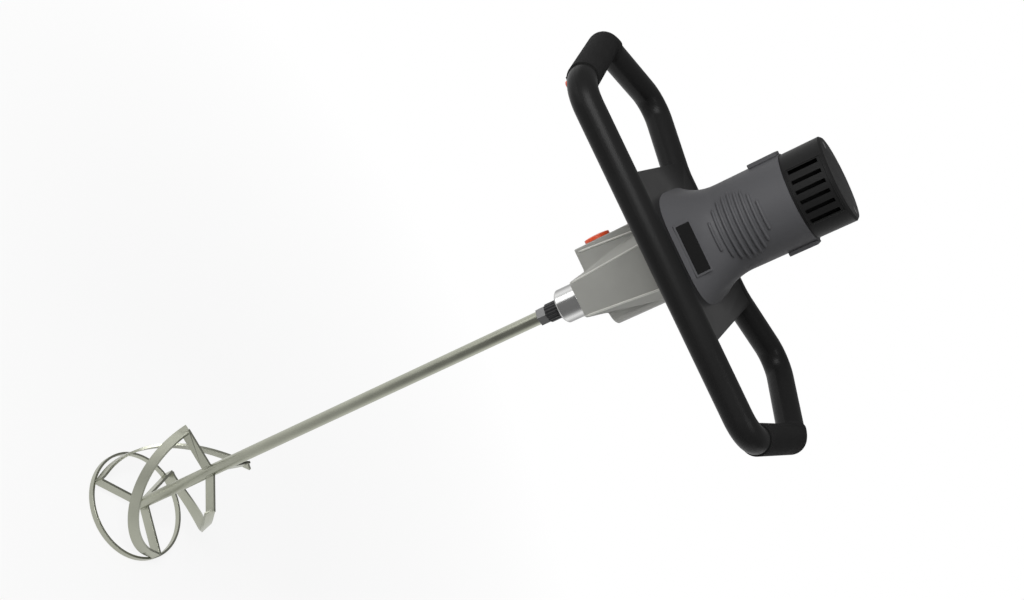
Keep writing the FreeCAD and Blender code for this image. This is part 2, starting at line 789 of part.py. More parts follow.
def make_handle():
    corners = ring_corners()
    edges = rounded_edges(corners, d.handle_plane)
    bar = solid("RingBar", tube_along(edges, bar_radius))
    void = solid("RingVoid", tube_along(edges, bar_radius - d.bar_wall))
    hub = plate("HubPlate", [
        (-d.hub_half_width, -d.near_bar), (d.hub_half_width, -d.near_bar),
        (d.hub_back_half_width, d.far_bar), (-d.hub_back_half_width, d.far_bar)], hub_bottom, d.hub_thickness)
    blank = joined("HandleBlank", [cut("RingTube", bar, [void]), cut("HubClear", hub, [void])])
    bore = rod("HubBore", d.hub_bore / 2, d.hub_thickness, z=hub_bottom)
    slot = side_block("TriggerSlot", trigger_slot(d.handle_plane - bar_radius, d.handle_plane))
    button_hole = rod("ButtonHole", d.lock_button_diameter / 2 + d.running_clearance, bar_radius,
                      *side_point(d.lock_button_along), d.handle_plane - bar_radius)
    pin_hole = side_pin("PinHole", d.trigger_pin_diameter / 2)
    gland_hole = cross_rod("GlandHole", d.gland_diameter / 2, d.gland_length, Vector(0, 1, 0),
                           y=d.far_bar + bar_radius - d.bar_wall * 2, z=d.handle_plane)
    blind = d.hub_thickness - d.screw_skin
    screws = [rod(f"HandleScrewHole{i}", d.handle_screw_diameter / 2, blind, x, y, hub_bottom)
              for i, (x, y) in enumerate(handle_screw_places())]
    long_hole = d.handle_screw_diameter / 2 + d.free_clearance
    long_holes = [rod(f"LongScrewHole{i}", long_hole, d.hub_thickness, x, y, hub_bottom)
                  for i, (x, y) in enumerate(screw_places())]
    whole = cut("HandleWhole", blank, [bore, slot, button_hole, pin_hole, gland_hole] + screws + long_holes)
    reach = d.end_corner + d.bar_diameter
    depth = d.bend_depth + d.bar_diameter
    seam = d.handle_plane
    lower_half = block("LowerHalf", (-reach, -depth, seam - d.bar_diameter), (reach, depth, seam))
    piece(common("LowerShell", whole, lower_half), "handle_lower_shell")
    upper_half = block("UpperHalf", (-reach, -depth, seam), (reach, depth, seam + d.bar_diameter))
    piece(common("UpperShell", whole, upper_half), "handle_upper_shell")
    make_grip(edges[1:3], "RightGrip", "right_grip", [])
    make_grip(edges[12:14], "LeftGrip", "left_grip", grip_openings())


def grip_openings():
    """The holes of the left rubber sleeve for the trigger and the lock button."""
    low = d.handle_plane - bar_radius - d.grip_wall
    slot = side_block("GripTriggerSlot", trigger_slot(low, d.handle_plane - bar_radius / 2))
    button = rod("GripButtonHole", d.lock_button_diameter / 2 + d.free_clearance, bar_radius,
                 *side_point(d.lock_button_along), low)
    return [slot, button]


def make_grip(edges, name, label, holes):
    """A rubber sleeve on one end of the ring."""
    outer = solid(name + "Outer", tube_along(edges, bar_radius + d.grip_wall))
    inner = solid(name + "Inner", tube_along(edges, bar_radius))
    piece(cut(name, outer, [inner] + holes), label)


def handle_screw_places():
    x = d.handle_screw_x
    y = d.handle_screw_y
    return [(x, y), (-x, y), (-x, -y), (x, -y)]


# The left end of the ring, where the trigger sits: along it from the near corner, and outwards

SIDE_RUN = "(Sizes.end_corner - Sizes.near_corner) / (Sizes.near_bar + Sizes.end_corner_depth)"
side_angle = math.atan2(float(d.end_corner - d.near_corner), float(d.near_bar + d.end_corner_depth))
side_cos = Size(math.cos(side_angle), f"cos(atan({SIDE_RUN}))")
side_sin = Size(math.sin(side_angle), f"sin(atan({SIDE_RUN}))")
SIDE_TURN = Rotation(Vector(0, 0, 1), 90 + math.degrees(side_angle))


def side_point(along, out=0):
    """Plan position of a point on the ring's left end."""
    x = -d.near_corner - side_sin * along - side_cos * out
    y = -d.near_bar + side_cos * along - side_sin * out
    return x, y


def side_block(name, corners):
    """A box whose length follows the ring's left end."""
    (along, out, low), (far, wide, high) = corners
    box = doc.addObject("Part::Box", name)
    bind(box, "Length", far - along)
    bind(box, "Width", wide - out)
    bind(box, "Height", high - low)
    box.Placement = Placement(Vector(), SIDE_TURN)
    place(box, *side_point(along, out), low)
    return box


def trigger_slot(low, high):
    """The two corners of the opening that the trigger moves in."""
    half = d.trigger_width / 2 + d.free_clearance
    start = d.trigger_start - d.trigger_gap
    return (start, -half, low), (start + d.trigger_length + d.trigger_gap * 2, half, high)


def trigger_pivot():
    """Distance along the ring's end and height of the trigger's pin."""
    along = d.trigger_start + d.trigger_length - d.trigger_pin_inset
    return along, d.handle_plane - bar_radius + d.trigger_depth - d.trigger_pin_cover


def side_pin(name, radius):
    """A pin across the ring's left end at the trigger's pivot."""
    along, height = trigger_pivot()
    pin = rod(name, radius, d.trigger_pin_length)
    pin.Placement = Placement(Vector(), SIDE_TURN * Rotation(Vector(0, 0, 1), Vector(0, 1, 0)))
    place(pin, *side_point(along, -d.trigger_pin_length / 2), height)
    return pin


def make_controls():
    skin = d.handle_plane - bar_radius - d.grip_wall
    low = skin - d.trigger_reach
    top = d.handle_plane - bar_radius + d.trigger_depth
    start = d.trigger_start
    far = start + d.trigger_length
    bevel = d.trigger_bevel
    ramp = d.trigger_ramp
    body = doc.addObject("PartDesign::Body", "TriggerBody")
    profile = outline(body, "XZ_Plane", [
        (start, low + bevel), (start + bevel, low), (far - ramp, low), (far, skin), (far, top),
        (start + ramp, top), (start, top - ramp / 2)])
    pad = body.newObject("PartDesign::Pad", "Width")
    pad.Profile = profile
    bind(pad, "Length", d.trigger_width)
    body.Placement = Placement(Vector(), SIDE_TURN)
    place(body, *side_point(0, d.trigger_width / 2))
    bore = side_pin("TriggerBore", d.trigger_pin_diameter / 2 + d.running_clearance)
    piece(cut("Trigger", body, [bore]), "trigger")
    piece(side_pin("TriggerPin", d.trigger_pin_diameter / 2), "trigger_pin")
    button_low = skin - d.lock_button_reach
    button_top = button_low + d.lock_button_length
    radius = d.lock_button_diameter / 2
    bevel = d.lock_button_bevel
    button = turned("LockButton", [
        (ZERO, button_low), (radius - bevel, button_low), (radius, button_low + bevel), (radius, button_top),
        (ZERO, button_top)])
    place(button, *side_point(d.lock_button_along))
    piece(button, "lock_button")
    switch_low = d.handle_plane + d.switch_lift
    switch_end = trigger_pivot()[0] - d.side_gap
    switch = side_block("Switch", ((switch_end - d.switch_length, -d.switch_width / 2, switch_low),
                                   (switch_end, d.switch_width / 2, switch_low + d.switch_height)))
    piece(switch, "switch_module")
    inner = d.far_bar + bar_radius - d.bar_wall * 2
    along = Vector(0, 1, 0)
    sleeve = cross_rod("GlandSleeve", d.gland_diameter / 2, d.gland_length, along, y=inner, z=d.handle_plane)
    bore = cross_rod("GlandBore", d.gland_bore / 2, d.gland_length, along, y=inner, z=d.handle_plane)
    piece(cut("Gland", sleeve, [bore]), "cord_gland")


HEAD_SPREAD = 1.9


def screw(name, radius, length, x, y, bottom, head_bottom):
    """A round-headed screw: its shank and its head, each from a height."""
    stem = rod(name + "Shank", radius, length, x, y, bottom)
    head = rod(name + "Head", radius * HEAD_SPREAD, d.screw_head_height, x, y, head_bottom)
    return joined(name, [stem, head])


def make_screws():
    radius = d.handle_screw_diameter / 2
    under = d.screw_head_height
    blind = d.hub_thickness - d.screw_skin
    short = [screw(f"ShortScrew{i}", radius, blind, x, y, hub_bottom, hub_bottom - under)
             for i, (x, y) in enumerate(handle_screw_places())]
    piece(group("HandleScrews", short), "handle_screws")
    length = d.flange_thickness + d.hub_thickness + d.screw_bite
    long = [screw(f"LongScrew{i}", radius, length, x, y, flange_bottom, flange_bottom - under)
            for i, (x, y) in enumerate(screw_places())]
    piece(group("GearboxScrews", long), "gearbox_screws")


# Motor

SECTION_POINTS = 32
SECTION_LEVELS = 6
SIDE_POWER = 2
FRONT_POWER = 1.5


def skirt_section(rise):
    """The housing's outline at a share of the shoulder's height, from rounded square to circle."""
    radius = float(d.housing_diameter) / 2
    side_share = (1 - rise) ** SIDE_POWER
    front_share = (1 - rise) ** FRONT_POWER
    half_width = radius + (float(d.shoulder_half_width) - radius) * side_share
    front = radius + (float(d.shoulder_front) - radius) * front_share
    back = radius + (float(d.shoulder_back) - radius) * side_share
    squareness = 2 / (2 + 2 * side_share)
    height = float(hub_top) + float(d.shoulder_height) * rise
    points = []
    for index in range(SECTION_POINTS):
        angle = 2 * math.pi * index / SECTION_POINTS
        across = math.copysign(abs(math.cos(angle)) ** squareness, math.cos(angle))
        deep = math.copysign(abs(math.sin(angle)) ** squareness, math.sin(angle))
        points.append(Vector(half_width * across, (back if deep > 0 else front) * deep, height))
    curve = Part.BSplineCurve()
    curve.interpolate(points, PeriodicFlag=True)
    return Part.Wire(curve.toShape())


def panel_depth():
    """How far forward the label's panel stands, from the shoulder's face at the label's height."""
    radius = d.housing_diameter / 2
    rise = (d.label_centre - hub_top) / d.shoulder_height
    share = Size((1 - float(rise)) ** FRONT_POWER, f"((1 - {rise.text}) ^ {FRONT_POWER})")
    return radius + (d.shoulder_front - radius) * share + d.label_depth


def label_block(name, width, height, back, front):
    """A box on the sloping front panel, between two depths from the panel's face."""
    slope_cos = Size(math.cos(math.radians(float(d.label_slope))), "cos(Sizes.label_slope)")
    slope_sin = Size(math.sin(math.radians(float(d.label_slope))), "sin(Sizes.label_slope)")
    box = doc.addObject("Part::Box", name)
    bind(box, "Length", width)
    bind(box, "Width", front - back)
    bind(box, "Height", height)
    box.Placement = Placement(Vector(), Rotation(Vector(1, 0, 0), -float(d.label_slope)))
    place(box, -width / 2, -panel_depth() - front * slope_cos - height / 2 * slope_sin,
          d.label_centre + front * slope_sin - height / 2 * slope_cos)
    return box


def make_housing():
    radius = d.housing_diameter / 2
    sections = [skirt_section(level / SECTION_LEVELS) for level in range(SECTION_LEVELS + 1)]
    skirt = solid("Skirt", Part.makeLoft(sections, True, False))
    barrel = rod("Barrel", radius, d.housing_length, z=hub_top)
    skin = joined("HousingSkin", [skirt, barrel])
    border = d.label_border * 2
    pad = label_block("LabelPad", d.label_width + border, d.label_height + border, -d.label_pad_depth,
                      d.label_proud)
    inside = rod("HousingInside", radius - d.housing_wall, d.housing_length, z=hub_top)
    screw_holes = [rod(f"HousingScrewHole{i}", d.handle_screw_diameter / 2, d.screw_bite, x, y, hub_top)
                   for i, (x, y) in enumerate(screw_places())]
    start = radius - d.housing_wall * 2
    end = radius + d.housing_wall
    wide = d.brush_width
    brush_slots = [block(f"BrushSlot{i}", (low, -wide, commutator_bottom), (high, wide, commutator_top))
                   for i, (low, high) in enumerate(((start, end), (-end, -start)))]
    body = cut("Housing", joined("HousingOuter", [skin, pad]), [inside] + screw_holes + brush_slots)
    piece(body, "motor_housing")
    label = label_block("Label", d.label_width, d.label_height, d.label_proud,
                        d.label_proud + d.label_thickness)
    piece(label, "label_plate")


def make_cover():
    outer = d.cover_diameter / 2
    inner = outer - d.cover_wall
    floor = cover_top - d.cover_wall
    bevel = d.cover_bevel
    cup = turned("CoverCup", [
        (inner, housing_top), (outer, housing_top), (outer, cover_top - bevel), (outer - bevel, cover_top),
        (ZERO, cover_top), (ZERO, floor), (inner, floor)])
    first = -d.vent_pitch * (d.vent_count - 1) / 2
    low = housing_top + d.vent_margin
    slots = []
    for index in range(int(float(d.vent_count))):
        middle = first + d.vent_pitch * index
        left = middle - d.vent_width / 2
        right = middle + d.vent_width / 2
        for name, near, far in (("Back", ZERO + d.vent_inner, outer), ("Front", -outer, -d.vent_inner)):
            slots.append(block(f"Vent{name}{index}", (left, near, low), (right, far, low + d.vent_length)))
    screws = []
    holes = []
    radius = d.cover_screw_diameter / 2
    bottom = bridge_top - d.cover_screw_bite
    sink = cover_top - d.screw_head_height
    for index, x in enumerate((d.cover_screw_circle / 2, -d.cover_screw_circle / 2)):
        holes.append(rod(f"CoverHole{index}", radius, d.cover_wall, x, 0, floor))
        holes.append(rod(f"CoverSink{index}", radius * HEAD_SPREAD, d.screw_head_height, x, 0, sink))
        screws.append(screw(f"CoverScrew{index}", radius, sink - bottom, x, 0, bottom, sink))
    piece(cut("Cover", cup, slots + holes), "rear_cover")
    piece(group("CoverScrews", screws), "rear_cover_screws")


def make_armature():
    main = d.shaft_diameter / 2
    rear = d.shaft_rear_diameter / 2
    pinion_bottom = wheel_bottom - d.pinion_overhang
    pinion = toothed(d.motor_pinion_teeth, pinion_bottom, d.gear_width + d.pinion_overhang * 2, turned_by=UP)
    journal = bar_shape(main, wheel_top + d.pinion_overhang, commutator_top)
    tail = bar_shape(rear, commutator_top, bridge_bottom + d.rear_shaft_bearing_width)
    piece(solid("ArmatureShaft", pinion.fuse([journal, tail]).removeSplitter()), "armature_shaft")
    piece(ring("Core", d.core_diameter / 2, main, core_bottom, core_length), "armature_core")
    ends = [ring(f"Winding{i}", d.winding_diameter / 2, main, bottom, d.winding_length)
            for i, bottom in enumerate((core_bottom - d.winding_length, core_top))]
    piece(group("Windings", ends), "armature_windings")
    drum = ring("Commutator", d.commutator_diameter / 2, main, commutator_bottom, d.commutator_length)
    piece(drum, "commutator")
    make_fan(main)


def make_fan(bore):
    """A disc with flat blades that stand on it."""
    outer = float(d.fan_diameter) / 2
    sheet_thickness = float(d.fan_sheet)
    disc = bar_shape(outer, fan_bottom, fan_bottom + sheet_thickness)
    hub_radius = bore + d.fan_hub
    hub = bar_shape(hub_radius, fan_bottom, fan_top)
    count = int(float(d.fan_blades))
    root = float(hub_radius) - sheet_thickness
    blades = []
    for index in range(count):
        corner = Vector(root, -sheet_thickness / 2, float(fan_bottom))
        blade = Part.makeBox(outer - root - sheet_thickness, sheet_thickness, float(d.fan_width), corner)
        blade.rotate(Vector(), Vector(0, 0, 1), 360 / count * index)
        blades.append(blade)
    fan = disc.fuse([hub] + blades).cut(bar_shape(bore, fan_bottom, fan_top))
    piece(solid("Fan", fan.removeSplitter()), "cooling_fan")


def make_stator():
    inside = d.housing_diameter / 2 - d.housing_wall
    fan_eye = d.winding_diameter / 2 + d.fan_gap
    piece(ring("Baffle", inside - d.free_clearance, fan_eye, baffle_bottom, d.baffle_thickness), "fan_baffle")
    core_hole = d.core_diameter / 2 + d.air_gap
    piece(ring("FieldCore", d.field_diameter / 2, core_hole, core_bottom, core_length), "field_core")
    coils = []
    half = d.field_diameter / 2 - d.coil_inset
    split = ZERO + d.coil_half_split
    for index, bottom in enumerate((core_bottom - d.coil_length, core_top)):
        top = bottom + d.coil_length
        for side, near, far in (("Front", -split, half), ("Back", -half, split)):
            coil = ring(f"Coil{side}{index}", half, core_hole + d.coil_gap, bottom, d.coil_length)
            rest = block(f"Split{side}{index}", (-half, near, bottom), (half, far, top))
            coils.append(cut(f"CoilHalf{side}{index}", coil, [rest]))
    piece(group("FieldCoils", coils), "field_coils")
    half_width = d.bridge_width / 2
    bar = block("BridgeBar", (-inside, -half_width, bridge_bottom), (inside, half_width, bridge_top))
    disc = rod("BridgeRound", inside - d.free_clearance, d.bridge_thickness, z=bridge_bottom)
    seat = rod("BridgeSeat", d.rear_shaft_bearing_diameter / 2, d.rear_shaft_bearing_width, z=bridge_bottom)
    bite = d.cover_screw_bite
    holes = [rod(f"BridgeScrewHole{i}", d.cover_screw_diameter / 2, bite, x, 0, bridge_top - bite)
             for i, x in enumerate((d.cover_screw_circle / 2, -d.cover_screw_circle / 2))]
    piece(cut("Bridge", common("BridgeBlank", bar, disc), [seat] + holes), "rear_bearing_bridge")
    wide = d.module_half_width
    deep = d.module_half_depth
    module_top = cover_top - d.cover_wall - d.module_gap
    piece(block("Module", (-wide, -deep, bridge_top), (wide, deep, module_top)), "control_module")


def make_brushes():
    contact = d.commutator_diameter / 2 + d.free_clearance
    middle = (commutator_bottom + commutator_top) / 2
    half_width = d.brush_width / 2
    low = middle - d.brush_height / 2
    top = middle + d.brush_height / 2
    wall = d.brush_box_wall
    box_start = contact + d.housing_wall
    box_end = d.housing_diameter / 2 - d.housing_wall
    skin = d.housing_diameter / 2
    cap_half = d.brush_cap_width / 2
    cap_top = housing_top - d.brush_cap_setback
    cap_low = cap_top - d.brush_cap_height

    def spans(near, far):
        """The span on the right side and its mirror on the left."""
        return enumerate(((near, far), (-far, -near)))

    brushes = [block(f"Brush{i}", (start, -half_width, low), (end, half_width, top))
               for i, (start, end) in spans(contact, contact + d.brush_length)]
    boxes = []
    for i, (start, end) in spans(box_start, box_end):
        outer = block(f"BrushBox{i}", (start, -half_width - wall, low - wall),
                      (end, half_width + wall, top + wall))
        way = block(f"BrushWay{i}", (start, -half_width, low), (end, half_width, top))
        boxes.append(cut(f"BrushHolder{i}", outer, [way]))
    caps = []
    for i, (start, end) in spans(skin - d.brush_cap_root, skin + d.brush_cap_reach):
        lid = block(f"CapBlock{i}", (start, -cap_half, cap_low), (end, cap_half, cap_top))
        seat = rod(f"CapSeat{i}", skin, d.brush_cap_height, z=cap_low)
        caps.append(cut(f"BrushCap{i}", lid, [seat]))
    piece(group("Brushes", brushes), "carbon_brushes")
    piece(group("BrushHolders", boxes), "brush_holders")
    piece(group("BrushCaps", caps), "brush_caps")


# Mixing paddle

def make_rod():
    top = rod_top - d.nut_length
    profile = [(ZERO, rod_tip), (rod_radius, rod_tip), (rod_radius, top), (ZERO, top)]
    piece(turned("MixingRod", profile), "mixing_rod")
    half = d.nut_across_flats / 2
    slope = half * (1 / math.sqrt(3))
    corner = half * (2 / math.sqrt(3))
    hexagon = [(half, -slope), (half, slope), (ZERO, corner),
               (-half, slope), (-half, -slope), (ZERO, -corner)]
    nut = plate("Nut", hexagon, top, d.nut_length)
    socket = rod("NutSocket", d.thread_diameter / 2, d.nut_length, z=top)
    piece(cut("NutBored", nut, [socket]), "coupling_nut")
    piece(ring("LockRing", d.lock_ring_diameter / 2, d.spindle_diameter / 2, lock_ring_bottom,
               d.lock_ring_length), "lock_ring")


BLADE_STEPS = 14
RISE_POWER = 1.55
DRAW_POWER = 0.35
TWIST_POWER = 2
ARM_SHARE = 0.985


def blade_frame(start_angle, share):
    """Place and directions of a blade's strip at a share of its way up."""
    wrap = math.radians(float(d.blade_wrap))
    climb = float(d.blade_height)
    foot = float(paddle_radius)
    radius = foot + (float(d.paddle_top_diameter) / 2 - foot) * share ** DRAW_POWER
    angle = start_angle - wrap * share
    slope = math.atan2(climb * RISE_POWER * share ** (RISE_POWER - 1), wrap * radius)
    outward = Vector(math.cos(angle), math.sin(angle), 0)
    around = Vector(-math.sin(angle), math.cos(angle), 0)
    across = around * math.sin(slope) + Vector(0, 0, 1) * math.cos(slope)
    low = float(hoop_top) + float(d.strip_width) / 2 + float(d.free_clearance)
    middle = outward * radius + Vector(0, 0, low + climb * share ** RISE_POWER)
    lean = math.radians(float(d.blade_twist)) * share ** TWIST_POWER
    wide = across * math.cos(lean) - outward * math.sin(lean)
    thick = outward * math.cos(lean) + across * math.sin(lean)
    return middle, outward, wide, thick


def flat_section(middle, wide, thick):
    """The four corners of the strip's section."""
    half_wide = wide * (float(d.strip_width) / 2)
    return [middle - half_wide - thick, middle + half_wide - thick, middle + half_wide, middle - half_wide]


def strip_shape(start_angle):
    """The climbing strip, drawn in and turned towards the rod as it rises."""
    sections = []
    for step in range(BLADE_STEPS + 1):
        middle, _, wide, thick = blade_frame(start_angle, step / BLADE_STEPS)
        corners = flat_section(middle, wide, thick * float(d.strip_thickness))
        sections.append(Part.makePolygon(corners + corners[:1]))
    return Part.makeLoft(sections, True, False)


def arm_shape(start_angle, share, drop):
    """The straight flat arm that ties a strip to the rod."""
    middle, outward, _, thick = blade_frame(start_angle, share)
    upright = Vector(0, 0, 1)
    along = outward.cross(upright) * float(d.strip_thickness)
    middle = middle - thick * (float(d.strip_thickness) / 2)
    corners = flat_section(middle, upright, along)
    face = Part.Face(Part.Wire(Part.makePolygon(corners + corners[:1])))
    reach = math.hypot(middle.x, middle.y)
    return face.extrude(outward * -reach - Vector(0, 0, float(drop)))


def make_blade(name, label, start_angle):
    """One strip that leaves the hoop level, climbs ever steeper and is tied to the rod twice."""
    foot = arm_shape(start_angle, 0, 0)
    top = arm_shape(start_angle, ARM_SHARE, d.arm_drop)
    blade = strip_shape(start_angle).fuse([foot, top]).cut(bar_shape(rod_radius, hoop_top, rod_top))
    largest = max(blade.Solids, key=lambda part: part.Volume)
    piece(solid(name, largest.removeSplitter()), label)


def make_paddle():
    start = math.radians(float(d.first_blade_angle))
    for index, label in enumerate(("front_blade", "rear_blade", "left_blade")):
        make_blade(f"Blade{index}", label, start + 2 * math.pi / 3 * index)
    hoop = ring("Hoop", paddle_radius, paddle_radius - d.hoop_thickness, hoop_top - d.hoop_height,
                d.hoop_height)
    piece(hoop, "paddle_hoop")


def check_document():
    """Stop if any object failed or any sub-part has no sound shape."""
    for item in doc.Objects:
        if "Invalid" in item.State or "Error" in item.State:
            raise RuntimeError(f"{item.Name} failed: {item.State}")
    for item in pieces:
        shape = item.Shape
        if shape.isNull() or not shape.isValid() or not shape.Solids:
            raise RuntimeError(f"{item.Label} has no sound shape")


def write_parts():
    os.makedirs("parts", exist_ok=True)
    for item in pieces:
        item.Shape.exportStep(f"parts/{item.Label}.step")
        print(item.Label, len(item.Shape.Solids), round(item.Shape.Volume, 1))


make_gears()
make_spindle()
make_bearings()
make_nose()
make_gearbox()
make_plates()
make_selector()
make_fork()
make_handle()
make_controls()
make_screws()
make_housing()
make_cover()
make_armature()
make_stator()
make_brushes()
make_rod()
make_paddle()
doc.recompute()
check_document()
write_parts()
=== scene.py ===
"""Looks of the mixing drill: its finishes and fine forms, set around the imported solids."""
import json
import math

import bpy
from bpy.props import FloatProperty, FloatVectorProperty, IntProperty, PointerProperty
from mathutils import Matrix, Vector
from mathutils.bvhtree import BVHTree


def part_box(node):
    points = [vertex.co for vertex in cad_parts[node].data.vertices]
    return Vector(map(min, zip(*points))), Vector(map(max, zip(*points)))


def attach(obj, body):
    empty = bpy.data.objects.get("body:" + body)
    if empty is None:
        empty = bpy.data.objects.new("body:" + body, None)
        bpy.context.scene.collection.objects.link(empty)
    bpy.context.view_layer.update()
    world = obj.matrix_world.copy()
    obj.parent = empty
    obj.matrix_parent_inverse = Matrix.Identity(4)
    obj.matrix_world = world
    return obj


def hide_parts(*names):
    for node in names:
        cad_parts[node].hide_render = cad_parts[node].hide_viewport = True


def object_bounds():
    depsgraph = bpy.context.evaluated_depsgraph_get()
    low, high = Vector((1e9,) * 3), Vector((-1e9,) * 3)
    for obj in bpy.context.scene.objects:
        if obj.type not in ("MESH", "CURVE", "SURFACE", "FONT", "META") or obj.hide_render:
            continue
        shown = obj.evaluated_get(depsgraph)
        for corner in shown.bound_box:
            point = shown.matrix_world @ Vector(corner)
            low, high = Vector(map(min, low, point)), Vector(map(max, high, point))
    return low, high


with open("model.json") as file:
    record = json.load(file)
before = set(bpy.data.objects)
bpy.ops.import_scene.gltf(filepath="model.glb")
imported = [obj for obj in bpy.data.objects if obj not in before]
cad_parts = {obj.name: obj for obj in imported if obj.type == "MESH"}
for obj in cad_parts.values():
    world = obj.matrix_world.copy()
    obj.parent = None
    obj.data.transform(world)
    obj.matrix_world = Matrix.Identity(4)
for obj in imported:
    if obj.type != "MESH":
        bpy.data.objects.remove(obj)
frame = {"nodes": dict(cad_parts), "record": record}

bl_info = {
    "name": "Mixing drill",
    "version": (1, 0, 0),
    "blender": (4, 5, 0),
    "location": "View3D > Sidebar > Mixing drill",
    "description": "Models the visible pieces of a hand-held mixing drill around its solids",
    "category": "Object",
}

CAD_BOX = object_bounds()
NODES = frame["nodes"]
MM = 0.001
BODY = "drill_body"
SPINDLE = "spindle"

# Angle of the side that faces the viewer, round the spindle's axis
NEAR_SIDE = -math.pi / 2
# The paddle's blades, and what their strips and the hoop are called here
BLADES = ("front_blade", "left_blade", "rear_blade")
STRIPS = {
    "front_blade": "front_strip",
    "left_blade": "left_strip",
    "rear_blade": "rear_strip",
    "paddle_hoop": "bottom_hoop",
}

# Points nearer than this are one point, and faces within this angle are one face
MERGE = 0.002 * MM
FLAT_DEGREES = 0.6
# Edges sharper than this are shaded as edges, on most pieces and on round beads
SHARP_DEGREES = 35
BEAD_SHARP_DEGREES = 60
# Corners round a bead, steps along a bead's arc and steps round a turned piece
BEAD_CORNERS = 10
ARC_STEPS = 32
TURN_STEPS = 64
# Thickness of a laid bead's ends, as a share of its middle
BEAD_END = 0.2

# Height of the fine grain's relief
GRAIN_HEIGHT = 0.0006
# Where the painted shade on a polished surface begins towards its outline, and where it is darkest
RIM_SHADE_SPAN = (0.30, 0.75)

# Ends of the ridges on the casting's near side, in millimetres
RIDGES = ((Vector((-18.5, -19.5, 25)), Vector((-25, -36, 121))),
          (Vector((17.5, -19.5, 23)), Vector((24, -36, 121))),
          (Vector((-43, -20, 46)), Vector((-37, -20, 119))))
RIDGE_STEPS = 16
GRIP_RIB_STEPS = 24
CROWN_STEPS = 8
# Points round the lock ring for each of its ribs; half of them lie in the groove
RIB_POINTS = 4
# A weld bead's thickness, width and height, as shares of its radius
BEAD_SHAPE = (0.7, 1.2, 2.6)
# A blade's points this near to the rod belong to its arms, and arms are further apart than the gap
ROOT_REACH = 1.5 * MM
ARM_GAP = 20 * MM
# Length and width of a screw's cross, as shares of the head's radius
CROSS_LENGTH = 1.2
CROSS_WIDTH = 0.28
# The cord sleeve's ribs, and heights on it as shares of its own height
GLAND_RIBS = 3
GLAND_FOOT = 0.3
GLAND_PITCH = 0.2
GLAND_GROOVE = 0.08
# Widths on the cord sleeve as shares of its foot's, and its grooves' width as a share of their rib's
GLAND_LIP = 0.92
GLAND_TAPER = 0.07
GLAND_MOUTH = 0.66
GLAND_NECK = 0.82

# The photograph's viewpoint: directions of the picture's right, its top and the viewer
CAMERA_RIGHT = Vector((0.4321, 0.3625, 0.8258))
CAMERA_UP = Vector((-0.9018, 0.1737, 0.3957))
CAMERA_BACK = Vector((0.0, -0.9157, 0.4020))
CAMERA_PLACE = Vector((-0.02854, -1.09066, 0.42974))
FILM_WIDTH = 36

# The lamps' aim, their places from it and their sizes, in metres
AIM = Vector((0.0, 0.0, -0.02))
KEY_PLACE = CAMERA_UP * 0.6 + CAMERA_BACK * 1.2 + CAMERA_RIGHT * 0.05
KEY_SIZE = 0.8
FILL_PLACE = CAMERA_RIGHT * 1.2 + CAMERA_BACK * 0.9 - CAMERA_UP * 0.2
FILL_SIZE = 0.4
LOW_PLACE = Vector((-1.05, -0.75, -0.5))
LOW_SIZE = 0.8

FLOOR_SIZE = 60
FLOOR_GAP = 2 * MM
# Distance from the spindle over which the floor turns white, and its share of white there
FLOOR_FADE = (0.3, 1.1)
FLOOR_WHITE = (0.86, 1.0)
# The floor in reflections, from before the drill to behind it
MIRROR_DEPTH = (-0.9, 0.05)
MIRROR_LEVEL = (0.16, 1.0)
# The room in reflections, from the horizon upward
ROOM_RISE = (-0.05, 0.1)
ROOM_LEVEL = (1.0, 0.26)
# The room's soft light, from the picture's top to its bottom
SOFT_SIDE = (-0.4, 0.7)
SOFT_LEVEL = (0.42, 0.14)


# Sizes and colours that a user would change

def colour(name, words, value):
    return FloatVectorProperty(name=name, description=words, default=value, subtype="COLOR", size=3,
                               min=0.0, max=1.0)


def length(name, words, millimetres):
    return FloatProperty(name=name, description=words, default=millimetres * MM, unit="LENGTH", precision=4)


class DrillFinishes(bpy.types.PropertyGroup):
    """Colours of the drill's finishes."""
    zinc: colour("Zinc", "Plated rod and paddle", (0.43, 0.44, 0.365))
    cast: colour("Casting", "Satin cast gearbox", (0.37, 0.37, 0.345))
    # Painted highlight: the casting's colour made lighter, for the light that the ridges catch
    ridge: colour("Ridges", "Bright ridges of the casting", (0.629, 0.629, 0.5865))
    polished: colour("Polished steel", "Nose collar", (0.78, 0.78, 0.77))
    steel: colour("Machined steel", "Screws, shafts and bearings", (0.42, 0.42, 0.42))
    dull_steel: colour("Dull steel", "Coupling nut", (0.24, 0.24, 0.24))
    black_steel: colour("Black steel", "Lock ring", (0.012, 0.012, 0.013))
    handle: colour("Handle", "Smooth black handle shells", (0.011, 0.011, 0.011))
    rubber: colour("Rubber", "Grip sleeves", (0.014, 0.014, 0.014))
    housing: colour("Housing", "Dark grey motor housing", (0.066, 0.066, 0.070))
    cover: colour("Rear cover", "Black slotted cover", (0.010, 0.010, 0.010))
    red: colour("Red", "Selector knob and lock button", (0.76, 0.085, 0.022))
    label: colour("Label", "Bare label plate", (0.005, 0.005, 0.005))
    copper: colour("Copper", "Windings and commutator", (0.55, 0.22, 0.09))
    iron: colour("Iron", "Laminations", (0.16, 0.16, 0.16))
    # Near-black: partly the inside's own dark plastic, partly painted shade that keeps the vents dark
    inner: colour("Inner moulding", "Plastic inside the drill", (0.008, 0.008, 0.008))


